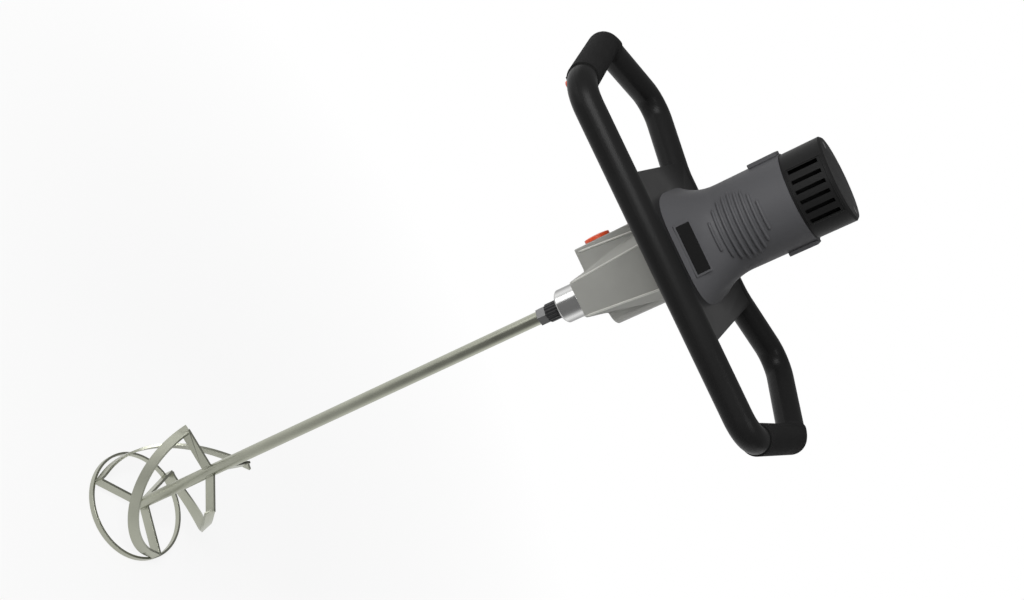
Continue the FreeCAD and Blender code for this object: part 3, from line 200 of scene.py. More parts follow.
class DrillDetails(bpy.types.PropertyGroup):
    """Sizes of the fine forms."""
    casting_round: length("Casting rounding", "Rounding of the gearbox's edges", 1.4)
    plastic_round: length("Plastic rounding", "Rounding of the moulded edges", 0.9)
    strip_round: length("Strip rounding", "Rounding of the paddle's strips", 0.5)
    label_round: length("Label rounding", "Rounding of the label plate", 0.3)
    collar_round: length("Collar rounding", "Rounding of the nose collar", 0.6)
    nut_round: length("Nut rounding", "Rounding of the coupling nut", 0.7)
    ring_round: length("Ring rounding", "Rounding of the lock ring's ribs", 0.3)
    seam: length("Seam", "Bevel that opens the seam between the handle shells", 0.5)
    grip_rib: length("Grip rib", "Radius of the grip ribs on the motor", 1.7)
    grip_rib_pitch: length("Grip rib pitch", "Distance between the grip ribs", 5.9)
    grip_rib_reach: length("Grip rib reach", "Half the width of the ribbed patch", 33)
    grip_rib_height: length("Grip rib height", "Height of the ribbed patch's middle", 206)
    grip_rib_count: IntProperty(name="Grip ribs", description="Grip ribs on the motor", default=9, min=1)
    ridge: length("Casting ridge", "Radius of the ridges along the gearbox", 1.2)
    rib_count: IntProperty(name="Ring ribs", description="Ribs round the lock ring", default=18, min=6)
    rib_depth: length("Rib depth", "Depth of the lock ring's ribs", 0.7)
    border: length("Vent border", "Radius of the bead round the vents", 0.6)
    border_gap: length("Vent border gap", "Distance of the bead from the cover's edges", 2.6)
    border_angle: FloatProperty(name="Vent border angle", description="How far the bead reaches round",
                                default=math.radians(80), subtype="ANGLE")
    baffle_thickness: length("Baffle", "Thickness of the baffle behind the vents", 4)
    baffle_gap: length("Baffle gap", "Distance of the baffle from the cover's flat face", 3.2)
    baffle_round: length("Baffle rounding", "Rounding of the baffle's edges", 0.8)
    head_radius: length("Screw head", "Radius of the screw heads", 3.8)
    head_round: length("Screw rounding", "Rounding of the screws' edges", 0.25)
    recess: length("Screw recess", "Depth of the cross in the screw heads", 1.0)
    bead: length("Weld bead", "Radius of the weld beads on the paddle", 2.6)
    rod_chamfer: length("Rod chamfer", "Chamfer at the rod's ends", 0.8)
    knob_crown: length("Knob crown", "Height of the selector knob's crown", 1.6)
    crown_sink: length("Crown seat", "How deep the crown sits in the knob", 0.8)
    gland_bore: length("Cord hole", "Radius of the cord's hole in its sleeve", 4.25)


class DrillStage(bpy.types.PropertyGroup):
    """Camera and light."""
    lens: FloatProperty(name="Lens", description="Focal length for a 36 mm wide film", default=40.43,
                        unit="CAMERA")
    key_power: FloatProperty(name="Key light", description="Power of the front light", default=15.5,
                             unit="POWER")
    fill_power: FloatProperty(name="Fill light", description="Power of the side light", default=2.6,
                              unit="POWER")
    low_power: FloatProperty(name="Low light", description="Power of the light along the rod", default=3.0,
                             unit="POWER")


# Shared shading

def add_node(tree, kind, place, **values):
    """Add a node at a place in its tree and set its values."""
    node = tree.nodes.new(kind)
    node.location = place
    for key, value in values.items():
        setattr(node, key, value)
    return node


def ramp(tree, place, value, span, levels, **values):
    """Turn a value that runs over a span into one between two levels."""
    node = add_node(tree, "ShaderNodeMapRange", place, **values)
    for key, number in zip(("From Min", "From Max", "To Min", "To Max"), span + levels):
        node.inputs[key].default_value = number
    tree.links.new(value, node.inputs["Value"])
    return node.outputs["Result"]


def larger(tree, place, first, second):
    """The larger of two values."""
    node = add_node(tree, "ShaderNodeMath", place, operation="MAXIMUM")
    tree.links.new(first, node.inputs[0])
    tree.links.new(second, node.inputs[1])
    return node.outputs["Value"]


def speckle_group():
    """Two soft noises: a broad drift of tone and a fine grain with its own relief."""
    group = bpy.data.node_groups.get("Moulded grain")
    if group:
        return group
    group = bpy.data.node_groups.new("Moulded grain", "ShaderNodeTree")
    face = group.interface
    for name, kind, default in (("Tone A", "NodeSocketColor", (0.1, 0.1, 0.1, 1)),
                                ("Tone B", "NodeSocketColor", (0.2, 0.2, 0.2, 1)),
                                ("Drift scale", "NodeSocketFloat", 20.0),
                                ("Grain scale", "NodeSocketFloat", 900.0),
                                ("Relief", "NodeSocketFloat", 0.1),
                                ("Smooth", "NodeSocketFloat", 0.3),
                                ("Rough", "NodeSocketFloat", 0.5)):
        socket = face.new_socket(name, in_out="INPUT", socket_type=kind)
        socket.default_value = default
    for name, kind in (("Color", "NodeSocketColor"), ("Roughness", "NodeSocketFloat"),
                       ("Normal", "NodeSocketVector")):
        face.new_socket(name, in_out="OUTPUT", socket_type=kind)
    start = add_node(group, "NodeGroupInput", (-900, 0))
    end = add_node(group, "NodeGroupOutput", (500, 0))
    place = add_node(group, "ShaderNodeTexCoord", (-900, -300))
    drift = add_node(group, "ShaderNodeTexNoise", (-600, 150))
    drift.inputs["Detail"].default_value = 5
    grain = add_node(group, "ShaderNodeTexNoise", (-600, -200))
    grain.inputs["Detail"].default_value = 2
    tone = add_node(group, "ShaderNodeMix", (-250, 150), data_type="RGBA")
    rough = add_node(group, "ShaderNodeMapRange", (-250, -50))
    bump = add_node(group, "ShaderNodeBump", (-250, -300))
    bump.inputs["Distance"].default_value = GRAIN_HEIGHT
    link = group.links.new
    link(place.outputs["Object"], drift.inputs["Vector"])
    link(place.outputs["Object"], grain.inputs["Vector"])
    link(start.outputs["Drift scale"], drift.inputs["Scale"])
    link(start.outputs["Grain scale"], grain.inputs["Scale"])
    link(drift.outputs["Fac"], tone.inputs["Factor"])
    link(start.outputs["Tone A"], tone.inputs["A"])
    link(start.outputs["Tone B"], tone.inputs["B"])
    link(drift.outputs["Fac"], rough.inputs["Value"])
    link(start.outputs["Smooth"], rough.inputs["To Min"])
    link(start.outputs["Rough"], rough.inputs["To Max"])
    link(grain.outputs["Fac"], bump.inputs["Height"])
    link(start.outputs["Relief"], bump.inputs["Strength"])
    link(tone.outputs["Result"], end.inputs["Color"])
    link(rough.outputs["Result"], end.inputs["Roughness"])
    link(bump.outputs["Normal"], end.inputs["Normal"])
    return group


def shaded(colour_value, factor):
    """A colour made lighter or darker by a factor."""
    return tuple(min(1.0, channel * factor) for channel in colour_value) + (1.0,)


def grained(name, tone, spread, drift, grain, relief, smooth, rough, metallic=0.0, specular=0.5, rim=1.0):
    """A material whose tone, gloss and relief come from the shared grain.

    A rim below one paints shade into its colour towards its outline.
    """
    material = bpy.data.materials.get(name)
    if material:
        return material
    material = bpy.data.materials.new(name)
    material.use_nodes = True
    tree = material.node_tree
    shader = tree.nodes["Principled BSDF"]
    shader.inputs["Metallic"].default_value = metallic
    shader.inputs["Specular IOR Level"].default_value = specular
    effect = add_node(tree, "ShaderNodeGroup", (-350, 0), node_tree=speckle_group())
    for key, value in (("Tone A", shaded(tone, 1 - spread)), ("Tone B", shaded(tone, 1 + spread)),
                       ("Drift scale", drift), ("Grain scale", grain), ("Relief", relief),
                       ("Smooth", smooth), ("Rough", rough)):
        effect.inputs[key].default_value = value
    tree.links.new(effect.outputs["Color"], shader.inputs["Base Color"])
    tree.links.new(effect.outputs["Roughness"], shader.inputs["Roughness"])
    tree.links.new(effect.outputs["Normal"], shader.inputs["Normal"])
    # Painted shade: the colour turns darker towards the outline, by the angle to the eye
    if rim < 1:
        paint_rim_shade(tree, effect.outputs["Color"], shader.inputs["Base Color"], shaded(tone, rim))
    return material


def paint_rim_shade(tree, tone, target, dark):
    """Paint shade into a tone where the surface turns away from the eye."""
    facing = add_node(tree, "ShaderNodeLayerWeight", (-350, 400))
    facing.inputs["Blend"].default_value = 0.5
    edge = ramp(tree, (-170, 400), facing.outputs["Facing"], RIM_SHADE_SPAN, (0.0, 1.0),
                interpolation_type="SMOOTHSTEP")
    mix = add_node(tree, "ShaderNodeMix", (0, 300), data_type="RGBA")
    mix.inputs["B"].default_value = dark
    tree.links.new(edge, mix.inputs["Factor"])
    tree.links.new(tone, mix.inputs["A"])
    tree.links.new(mix.outputs["Result"], target)


# How each finish takes the shared grain; its tone is the user's colour of the same name, and a rim below one
# paints shade towards its outline
FINISHES = {
    "zinc": dict(name="Zinc plate", spread=0.14, drift=30, grain=500, relief=0.012,
                 smooth=0.26, rough=0.40, metallic=1.0),
    "cast": dict(name="Satin casting", spread=0.10, drift=35, grain=1400, relief=0.16,
                 smooth=0.40, rough=0.52, metallic=0.4),
    # Same as the casting but lighter: a painted highlight along the ridges
    "ridge": dict(name="Bright ridges", spread=0.10, drift=35, grain=1400, relief=0.10,
                  smooth=0.30, rough=0.40, metallic=0.5),
    # The rim values of the steels below paint shade towards their outlines
    "polished": dict(name="Polished steel", spread=0.05, drift=60, grain=300, relief=0.006,
                     smooth=0.18, rough=0.26, metallic=1.0, rim=0.3),
    "steel": dict(name="Machined steel", spread=0.10, drift=40, grain=600, relief=0.06,
                  smooth=0.28, rough=0.40, metallic=1.0, rim=0.4),
    "dull_steel": dict(name="Dull steel", spread=0.10, drift=40, grain=600, relief=0.06,
                       smooth=0.30, rough=0.42, metallic=1.0, rim=0.5),
    "black_steel": dict(name="Black oxide", spread=0.20, drift=50, grain=800, relief=0.06,
                        smooth=0.30, rough=0.45),
    "handle": dict(name="Handle plastic", spread=0.15, drift=18, grain=1600, relief=0.10,
                   smooth=0.30, rough=0.42, specular=0.10),
    "rubber": dict(name="Grip rubber", spread=0.25, drift=45, grain=1100, relief=0.35,
                   smooth=0.68, rough=0.85, specular=0.05),
    "housing": dict(name="Housing plastic", spread=0.08, drift=16, grain=1700, relief=0.22,
                    smooth=0.46, rough=0.58, specular=0.22),
    "cover": dict(name="Cover plastic", spread=0.15, drift=20, grain=1500, relief=0.15,
                  smooth=0.40, rough=0.52, specular=0.11),
    "red": dict(name="Red plastic", spread=0.10, drift=60, grain=900, relief=0.05,
                smooth=0.32, rough=0.42),
    "label": dict(name="Label film", spread=0.20, drift=30, grain=400, relief=0.02,
                  smooth=0.22, rough=0.32, specular=0.25),
    "copper": dict(name="Copper", spread=0.15, drift=120, grain=900, relief=0.10,
                   smooth=0.30, rough=0.45, metallic=1.0),
    "iron": dict(name="Lamination iron", spread=0.20, drift=200, grain=1200, relief=0.20,
                 smooth=0.40, rough=0.60, metallic=0.8),
    # Partly painted shade: the inside is near black so that the vents read dark
    "inner": dict(name="Inner moulding", spread=0.20, drift=40, grain=900, relief=0.10,
                  smooth=0.60, rough=0.75, specular=0.10),
}


def finish(key):
    """The material of one finish, in the user's colour."""
    return grained(tone=getattr(bpy.context.scene.drill_finishes, key), **FINISHES[key])


def dress(object_, key):
    """Give an object one finish all over."""
    object_.data.materials.clear()
    object_.data.materials.append(finish(key))


# Shared modelling

def only(object_):
    """Make an object the one that is selected and active."""
    if bpy.context.mode != "OBJECT":
        bpy.ops.object.mode_set(mode="OBJECT")
    bpy.ops.object.select_all(action="DESELECT")
    object_.select_set(True)
    bpy.context.view_layer.objects.active = object_


def smooth(degrees=SHARP_DEGREES):
    """Shade the active piece smooth up to an angle."""
    bpy.ops.object.shade_smooth_by_angle(angle=math.radians(degrees))


def solid_copy(node, name):
    """A merged copy of a CAD solid with its flat faces made whole, ready to be shaped further."""
    piece = bpy.data.objects.new(name, NODES[node].data.copy())
    bpy.context.scene.collection.objects.link(piece)
    only(piece)
    bpy.ops.object.mode_set(mode="EDIT")
    bpy.ops.mesh.select_all(action="SELECT")
    bpy.ops.mesh.remove_doubles(threshold=MERGE)
    bpy.ops.mesh.dissolve_limited(angle_limit=math.radians(FLAT_DEGREES))
    bpy.ops.object.mode_set(mode="OBJECT")
    smooth()
    return piece


def skin(node):
    """A search tree over a CAD solid's surface."""
    mesh = NODES[node].data
    points = [vertex.co for vertex in mesh.vertices]
    return BVHTree.FromPolygons(points, [tuple(face.vertices) for face in mesh.polygons])


def bead_along(name, paths, thick):
    """One piece of round beads that follow rows of points and thin out at their ends."""
    line = bpy.data.curves.new(name, "CURVE")
    line.dimensions = "3D"
    line.bevel_depth = thick
    line.bevel_resolution = 3
    line.use_fill_caps = True
    for path in paths:
        spline = line.splines.new("POLY")
        spline.points.add(len(path) - 1)
        for point, place in zip(spline.points, path):
            point.co = (*place, 1)
        spline.points[0].radius = BEAD_END
        spline.points[-1].radius = BEAD_END
    piece = bpy.data.objects.new(name, line)
    bpy.context.scene.collection.objects.link(piece)
    only(piece)
    bpy.ops.object.convert(target="MESH")
    smooth(BEAD_SHARP_DEGREES)
    return bpy.context.active_object


def apply_modifier(piece, kind, **values):
    """Add a modifier with its values and apply it."""
    only(piece)
    modifier = piece.modifiers.new(kind.title(), kind)
    for key, value in values.items():
        setattr(modifier, key, value)
    bpy.ops.object.modifier_apply(modifier=modifier.name)


def round_edges(piece, width, segments=2, angle=35, clamp=True):
    """Round the edges that are sharper than an angle."""
    apply_modifier(piece, "BEVEL", width=width, segments=segments, limit_method="ANGLE",
                   angle_limit=math.radians(angle), use_clamp_overlap=clamp, harden_normals=True)


def settle(piece, body, slot, key, *nodes):
    """Put a finished piece on its body with its finish and hide the nodes it stands for. The slot it is
    given is not used.
    """
    only(piece)
    bpy.ops.object.transform_apply(location=True, rotation=True, scale=True)
    dress(piece, key)
    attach(piece, body)
    if nodes:
        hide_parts(*nodes)
    return piece


class DrillOperator:
    """What the modelling operators share."""
    bl_options = {"REGISTER", "UNDO"}


def begin(name):
    """Start an empty piece in edit mode."""
    piece = bpy.data.objects.new(name, bpy.data.meshes.new(name))
    bpy.context.scene.collection.objects.link(piece)
    only(piece)
    bpy.ops.object.mode_set(mode="EDIT")
    return piece


def end(piece, degrees=SHARP_DEGREES):
    """Merge what was added, turn it outward and leave edit mode."""
    bpy.ops.mesh.select_all(action="SELECT")
    bpy.ops.mesh.remove_doubles(threshold=MERGE)
    bpy.ops.mesh.delete_loose()
    bpy.ops.mesh.select_all(action="SELECT")
    bpy.ops.mesh.normals_make_consistent(inside=False)
    bpy.ops.object.mode_set(mode="OBJECT")
    smooth(degrees)
    return piece


def arc_bead(radius, thick, middle, span, height):
    """Add a round bead that runs round the Z axis at a height."""
    first = middle + span / 2
    place = (radius * math.cos(first), radius * math.sin(first), height)
    bpy.ops.mesh.primitive_circle_add(vertices=BEAD_CORNERS, radius=thick, fill_type="NGON", location=place,
                                      rotation=(math.pi / 2, 0, first))
    bpy.ops.mesh.spin(steps=ARC_STEPS, angle=span, center=(0, 0, height), axis=(0, 0, 1))


def upright_bead(radius, thick, angle, bottom, top):
    """Add a round bead that stands along Z on a round wall."""
    place = (radius * math.cos(angle), radius * math.sin(angle), (bottom + top) / 2)
    bpy.ops.mesh.primitive_cylinder_add(vertices=BEAD_CORNERS, radius=thick, depth=top - bottom,
                                        location=place)


def carve(piece, cutter):
    """Cut one piece out of another and drop the cutter."""
    apply_modifier(piece, "BOOLEAN", object=cutter, operation="DIFFERENCE", solver="EXACT")
    bpy.data.objects.remove(cutter)
    if not piece.data.polygons:
        raise RuntimeError("nothing is left of " + piece.name)
    only(piece)
    smooth()


def lathe(name, outline):
    """A turned piece from a closed outline of radius and height."""
    piece = begin(name)
    bpy.ops.object.mode_set(mode="OBJECT")
    points = [(radius, 0, height) for radius, height in outline]
    edges = [(index, (index + 1) % len(points)) for index in range(len(points))]
    piece.data.from_pydata(points, edges, [])
    bpy.ops.object.mode_set(mode="EDIT")
    bpy.ops.mesh.select_all(action="SELECT")
    bpy.ops.mesh.spin(steps=TURN_STEPS, angle=2 * math.pi, center=(0, 0, 0), axis=(0, 0, 1))
    return end(piece)


def details():
    """The user's sizes of the fine forms."""
    return bpy.context.scene.drill_details


class OBJECT_OT_drill_gearbox(DrillOperator, bpy.types.Operator):
    """Round the casting's edges and lay its ridges"""
    bl_idname = "object.drill_gearbox"
    bl_label = "Gearbox"

    def execute(self, context):
        piece = solid_copy("gearbox_housing", "gearbox_casting")
        round_edges(piece, details().casting_round, 3, 30, False)
        settle(piece, BODY, "cast_aluminium", "cast", "gearbox_housing")
        ridges = bead_along("casting_ridges", self.ridge_lines(), details().ridge)
        # The ridges take the lighter tone, a painted highlight
        settle(ridges, BODY, "cast_aluminium", "ridge")
        return {"FINISHED"}

    def ridge_lines(self):
        """The ridges that run up the casting's near side, laid on its surface."""
        surface = skin("gearbox_housing")
        lines = []
        for bottom, top in RIDGES:
            points = [bottom.lerp(top, step / RIDGE_STEPS) * MM for step in range(RIDGE_STEPS + 1)]
            lines.append([surface.find_nearest(point)[0] for point in points])
        return lines


class OBJECT_OT_drill_motor(DrillOperator, bpy.types.Operator):
    """Round the motor housing and lay its patch of grip ribs"""
    bl_idname = "object.drill_motor"
    bl_label = "Motor housing"

    def execute(self, context):
        piece = solid_copy("motor_housing", "motor_shell")
        round_edges(piece, details().plastic_round, 2, 35)
        settle(piece, BODY, "housing_plastic", "housing", "motor_housing")
        ribs = bead_along("grip_ribs", self.rib_lines(), details().grip_rib)
        settle(ribs, BODY, "housing_plastic", "housing")
        return {"FINISHED"}

    def rib_lines(self):
        """Rows across the near side of the housing that fill an oval patch."""
        sizes = details()
        surface = skin("motor_housing")
        half = (sizes.grip_rib_count - 1) / 2
        across = [2 * step / GRIP_RIB_STEPS - 1 for step in range(GRIP_RIB_STEPS + 1)]
        inward = Vector((0, 1, 0))
        lines = []
        for index in range(sizes.grip_rib_count):
            share = (index - half) / (half + 0.5)
            reach = sizes.grip_rib_reach * math.sqrt(1 - share * share)
            height = sizes.grip_rib_height + sizes.grip_rib_pitch * (index - half)
            starts = [Vector((reach * side, CAD_BOX[0][1], height)) for side in across]
            lines.append([surface.ray_cast(start, inward)[0] for start in starts])
        return lines


class OBJECT_OT_drill_cover(DrillOperator, bpy.types.Operator):
    """Round the slotted cover, lay the beads round its vents and set the baffle behind them"""
    bl_idname = "object.drill_cover"
    bl_label = "Rear cover"

    def execute(self, context):
        sizes = details()
        low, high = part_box("rear_cover")
        piece = solid_copy("rear_cover", "vent_cover")
        round_edges(piece, sizes.plastic_round / 2, 2, 35)
        settle(piece, BODY, "cover_plastic", "cover", "rear_cover")
        bottom = low.z + sizes.border_gap
        top = high.z - sizes.border_gap - sizes.plastic_round
        for side, name in ((NEAR_SIDE, "vent_border_front"), (-NEAR_SIDE, "vent_border_back")):
            border = begin(name)
            for height in (bottom, top):
                arc_bead(high.x, sizes.border, side, sizes.border_angle, height)
            for turn in (-sizes.border_angle / 2, sizes.border_angle / 2):
                upright_bead(high.x, sizes.border, side + turn, bottom, top)
            end(border, BEAD_SHARP_DEGREES)
            settle(border, BODY, "cover_plastic", "cover")
        self.baffle(sizes, high.z - sizes.baffle_gap)
        return {"FINISHED"}

    def baffle(self, sizes, top):
        """The upright baffle that stops the view through the vents above the electronics."""
        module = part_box("control_module")[1]
        middle = (0, 0, (module.z + top) / 2)
        piece = begin("cover_baffle")
        bpy.ops.mesh.primitive_cube_add(size=1, location=middle)
        bpy.ops.transform.resize(value=(module.x * 2, sizes.baffle_thickness, top - module.z),
                                 center_override=middle)
        bpy.ops.mesh.select_all(action="SELECT")
        bpy.ops.mesh.bevel(offset=sizes.baffle_round, segments=2)
        end(piece)
        # The baffle takes the near-black inside finish, partly painted shade behind the vents
        settle(piece, BODY, "inner_plastic", "inner")


class OBJECT_OT_drill_trim(DrillOperator, bpy.types.Operator):
    """Round the label plate, the brush caps and the controls, and crown the knob"""
    bl_idname = "object.drill_trim"
    bl_label = "Label, caps and controls"

    def execute(self, context):
        sizes = details()
        for node, name, body, slot, key, width in (
                ("label_plate", "label", BODY, "label_film", "label", sizes.label_round),
                ("brush_caps", "brush_covers", BODY, "housing_plastic", "housing", sizes.plastic_round),
                ("trigger", "trigger_lever", "trigger", "trigger_plastic", "cover", sizes.plastic_round),
                ("lock_button", "lock_cap", "lock_button", "red_plastic", "red", sizes.plastic_round),
                ("selector_knob", "speed_knob", "selector", "red_plastic", "red", sizes.plastic_round)):
            piece = solid_copy(node, name)
            round_edges(piece, width, 3, 35)
            settle(piece, body, slot, key, node)
        self.crown(sizes)
        return {"FINISHED"}

    def crown(self, sizes):
        """The smooth crown on the selector knob's face."""
        low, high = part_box("selector_knob")
        radius = (high.z - low.z) / 2
        arc = [step / CROWN_STEPS * math.pi / 2 for step in range(CROWN_STEPS)]
        outline = [(radius * math.cos(turn), sizes.knob_crown * math.sin(turn)) for turn in arc]
        outline += [(0, sizes.knob_crown), (0, -sizes.knob_crown / 2), (radius, -sizes.knob_crown / 2)]
        piece = lathe("knob_crown", outline)
        piece.rotation_euler = (0, -math.pi / 2, 0)
        piece.location = (low.x + sizes.crown_sink, (low.y + high.y) / 2, (low.z + high.z) / 2)
        settle(piece, "selector", "red_plastic", "red")


class OBJECT_OT_drill_handle(DrillOperator, bpy.types.Operator):
    """Open the seam between the handle's shells and round the rubber grips"""
    bl_idname = "object.drill_handle"
    bl_label = "Handle and grips"

    def execute(self, context):
        sizes = details()
        for side in ("lower", "upper"):
            piece = solid_copy(f"handle_{side}_shell", f"handle_{side}")
            round_edges(piece, sizes.seam, 2, 50)
            settle(piece, BODY, "handle_plastic", "handle", f"handle_{side}_shell")
        for side in ("left", "right"):
            piece = solid_copy(f"{side}_grip", f"{side}_rubber")
            round_edges(piece, sizes.plastic_round, 3, 50)
            settle(piece, BODY, "grip_rubber", "rubber", f"{side}_grip")
        return {"FINISHED"}


class OBJECT_OT_drill_nose(DrillOperator, bpy.types.Operator):
    """Round the collar and the nut and rib the lock ring"""
    bl_idname = "object.drill_nose"
    bl_label = "Nose, lock ring and nut"

    def execute(self, context):
        sizes = details()
        collar = solid_copy("nose_collar", "collar")
        round_edges(collar, sizes.collar_round, 3)
        settle(collar, BODY, "polished_steel", "polished", "nose_collar")
        nut = solid_copy("coupling_nut", "hexagon_nut")
        round_edges(nut, sizes.nut_round, 3)
        settle(nut, SPINDLE, "steel", "dull_steel", "coupling_nut")
        self.ring(sizes)
        return {"FINISHED"}

    def ring(self, sizes):
        """The lock ring with grooves between its ribs."""
        low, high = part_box("lock_ring")
        ring = begin("ribbed_ring")
        count = sizes.rib_count * RIB_POINTS
        bpy.ops.mesh.primitive_cylinder_add(vertices=count, radius=high.x, depth=high.z - low.z,
                                            location=(0, 0, (low.z + high.z) / 2))
        bpy.ops.mesh.select_all(action="DESELECT")
        bpy.ops.object.mode_set(mode="OBJECT")
        for vertex in ring.data.vertices:
            turn = math.atan2(vertex.co.y, vertex.co.x) / (2 * math.pi) * count
            vertex.select = round(turn) % RIB_POINTS < RIB_POINTS // 2
        bpy.ops.object.mode_set(mode="EDIT")
        bpy.ops.mesh.select_mode(type="VERT")
        shrink = 1 - sizes.rib_depth / high.x
        bpy.ops.transform.resize(value=(shrink, shrink, 1), center_override=(0, 0, 0))
        end(ring)
        round_edges(ring, sizes.ring_round, 2, 25)
        settle(ring, SPINDLE, "black_steel", "black_steel", "lock_ring")


class OBJECT_OT_drill_paddle(DrillOperator, bpy.types.Operator):
    """Round the paddle's strips and lay the weld beads where they meet the rod"""
    bl_idname = "object.drill_paddle"
    bl_label = "Paddle"

    def execute(self, context):
        sizes = details()
        for node, name in STRIPS.items():
            piece = solid_copy(node, name)
            round_edges(piece, sizes.strip_round, 2, 40)
            settle(piece, SPINDLE, "zinc_steel", "zinc", node)
        rod_low, rod_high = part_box("mixing_rod")
        rod_radius = rod_high.x
        rod = lathe("bright_rod", self.rod_outline(rod_radius, rod_low.z, rod_high.z, sizes.rod_chamfer))
        settle(rod, SPINDLE, "zinc_steel", "zinc", "mixing_rod")
        beads = begin("weld_beads")
        for node in BLADES:
            for place in self.roots(node, rod_radius + ROOT_REACH):
                turn = math.atan2(place.y, place.x)
                bpy.ops.mesh.primitive_uv_sphere_add(segments=20, ring_count=12, radius=sizes.bead,
                                                     location=place, rotation=(0, 0, turn), scale=BEAD_SHAPE)
        end(beads, BEAD_SHARP_DEGREES)
        settle(beads, SPINDLE, "zinc_steel", "zinc")
        return {"FINISHED"}

    def rod_outline(self, radius, bottom, top, chamfer):
        """Half the rod's section, with its chamfered ends."""
        slim = radius - chamfer
        return [(0, bottom), (slim, bottom), (radius, bottom + chamfer),
                (radius, top - chamfer), (slim, top), (0, top)]

    def roots(self, node, reach):
        """The middles of a blade's ends on the rod, one for each arm."""
        points = [vertex.co for vertex in NODES[node].data.vertices]
        near = [point for point in points if math.hypot(point.x, point.y) < reach]
        near.sort(key=lambda point: point.z)
        arms = [near[:1]]
        for lower, point in zip(near, near[1:]):
            if point.z - lower.z > ARM_GAP:
                arms.append([])
            arms[-1].append(point)
        return [sum(arm, Vector()) / len(arm) for arm in arms]


class OBJECT_OT_drill_screws(DrillOperator, bpy.types.Operator):
    """Cut the cross recesses into the screw heads"""
    bl_idname = "object.drill_screws"
    bl_label = "Screws"

    def execute(self, context):
        for node, name, faces_up in (("handle_screws", "handle_cross_screws", False),
                                     ("gearbox_screws", "gearbox_cross_screws", False),
                                     ("rear_cover_screws", "cover_cross_screws", True)):
            low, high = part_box(node)
            face = high.z if faces_up else low.z
            piece = solid_copy(node, name)
            round_edges(piece, details().head_round, 2, 50)
            for size in self.bars():
                cutter = begin("cross_cutter")
                for x, y in self.heads(low, high):
                    bpy.ops.mesh.primitive_cube_add(size=1, location=(x, y, face))
                    bpy.ops.transform.resize(value=size, center_override=(x, y, face))
                    bpy.ops.mesh.select_all(action="DESELECT")
                carve(piece, end(cutter))
            settle(piece, BODY, "steel", "steel", node)
        return {"FINISHED"}

    def bars(self):
        """Sizes of the cross's two bars, one along X and one along Y."""
        long = details().head_radius * CROSS_LENGTH
        narrow = details().head_radius * CROSS_WIDTH
        deep = details().recess * 2
        return (long, narrow, deep), (narrow, long, deep)

    def heads(self, low, high):
        """Middles of the heads, from the box round them."""
        x = high.x - details().head_radius
        y = high.y - details().head_radius
        rows = (y, -y) if y > details().head_radius else (0.0,)
        return [(column, row) for column in (x, -x) for row in rows]


class OBJECT_OT_drill_gland(DrillOperator, bpy.types.Operator):
    """Turn the ribbed rubber sleeve of the cord inlet"""
    bl_idname = "object.drill_gland"
    bl_label = "Cord gland"

    def execute(self, context):
        low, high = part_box("cord_gland")
        outer = (high.x - low.x) / 2
        tall = high.y - low.y
        bore = details().gland_bore
        foot = tall * GLAND_FOOT
        pitch = tall * GLAND_PITCH
        outline = [(bore, 0), (outer, 0), (outer, foot)]
        for rib in range(GLAND_RIBS):
            start = foot + pitch * rib
            lip = outer * (GLAND_LIP - GLAND_TAPER * rib)
            neck = lip * GLAND_NECK
            outline += [(neck, start), (neck, start + tall * GLAND_GROOVE), (lip, start + pitch / 2),
                        (lip, start + pitch)]
        mouth = outer * GLAND_MOUTH
        outline += [(mouth, foot + pitch * GLAND_RIBS), (mouth, tall), (bore, tall)]
        piece = lathe("cord_sleeve", outline)
        piece.rotation_euler = (-math.pi / 2, 0, 0)
        piece.location = (0, low.y, (low.z + high.z) / 2)
        settle(piece, BODY, "grip_rubber", "rubber", "cord_gland")
        return {"FINISHED"}


class OBJECT_OT_drill_inner_finishes(DrillOperator, bpy.types.Operator):
    """Give every solid that stays as it is its own finish"""
    bl_idname = "object.drill_inner_finishes"
    bl_label = "Finish the plain solids"

    def execute(self, context):
        by_slot = {
            "zinc_steel": "zinc", "polished_steel": "polished", "black_steel": "black_steel",
            "cast_aluminium": "cast", "plate_aluminium": "cast", "handle_plastic": "handle",
            "grip_rubber": "rubber", "red_plastic": "red", "trigger_plastic": "cover",
            "housing_plastic": "housing", "cover_plastic": "cover", "label_film": "label", "steel": "steel",
            "lamination_iron": "iron", "copper": "copper", "inner_plastic": "inner",
        }
        for subpart in frame["record"]["subparts"]:
            dress(NODES[subpart["node"]], by_slot[subpart["material_slot"]])
        return {"FINISHED"}


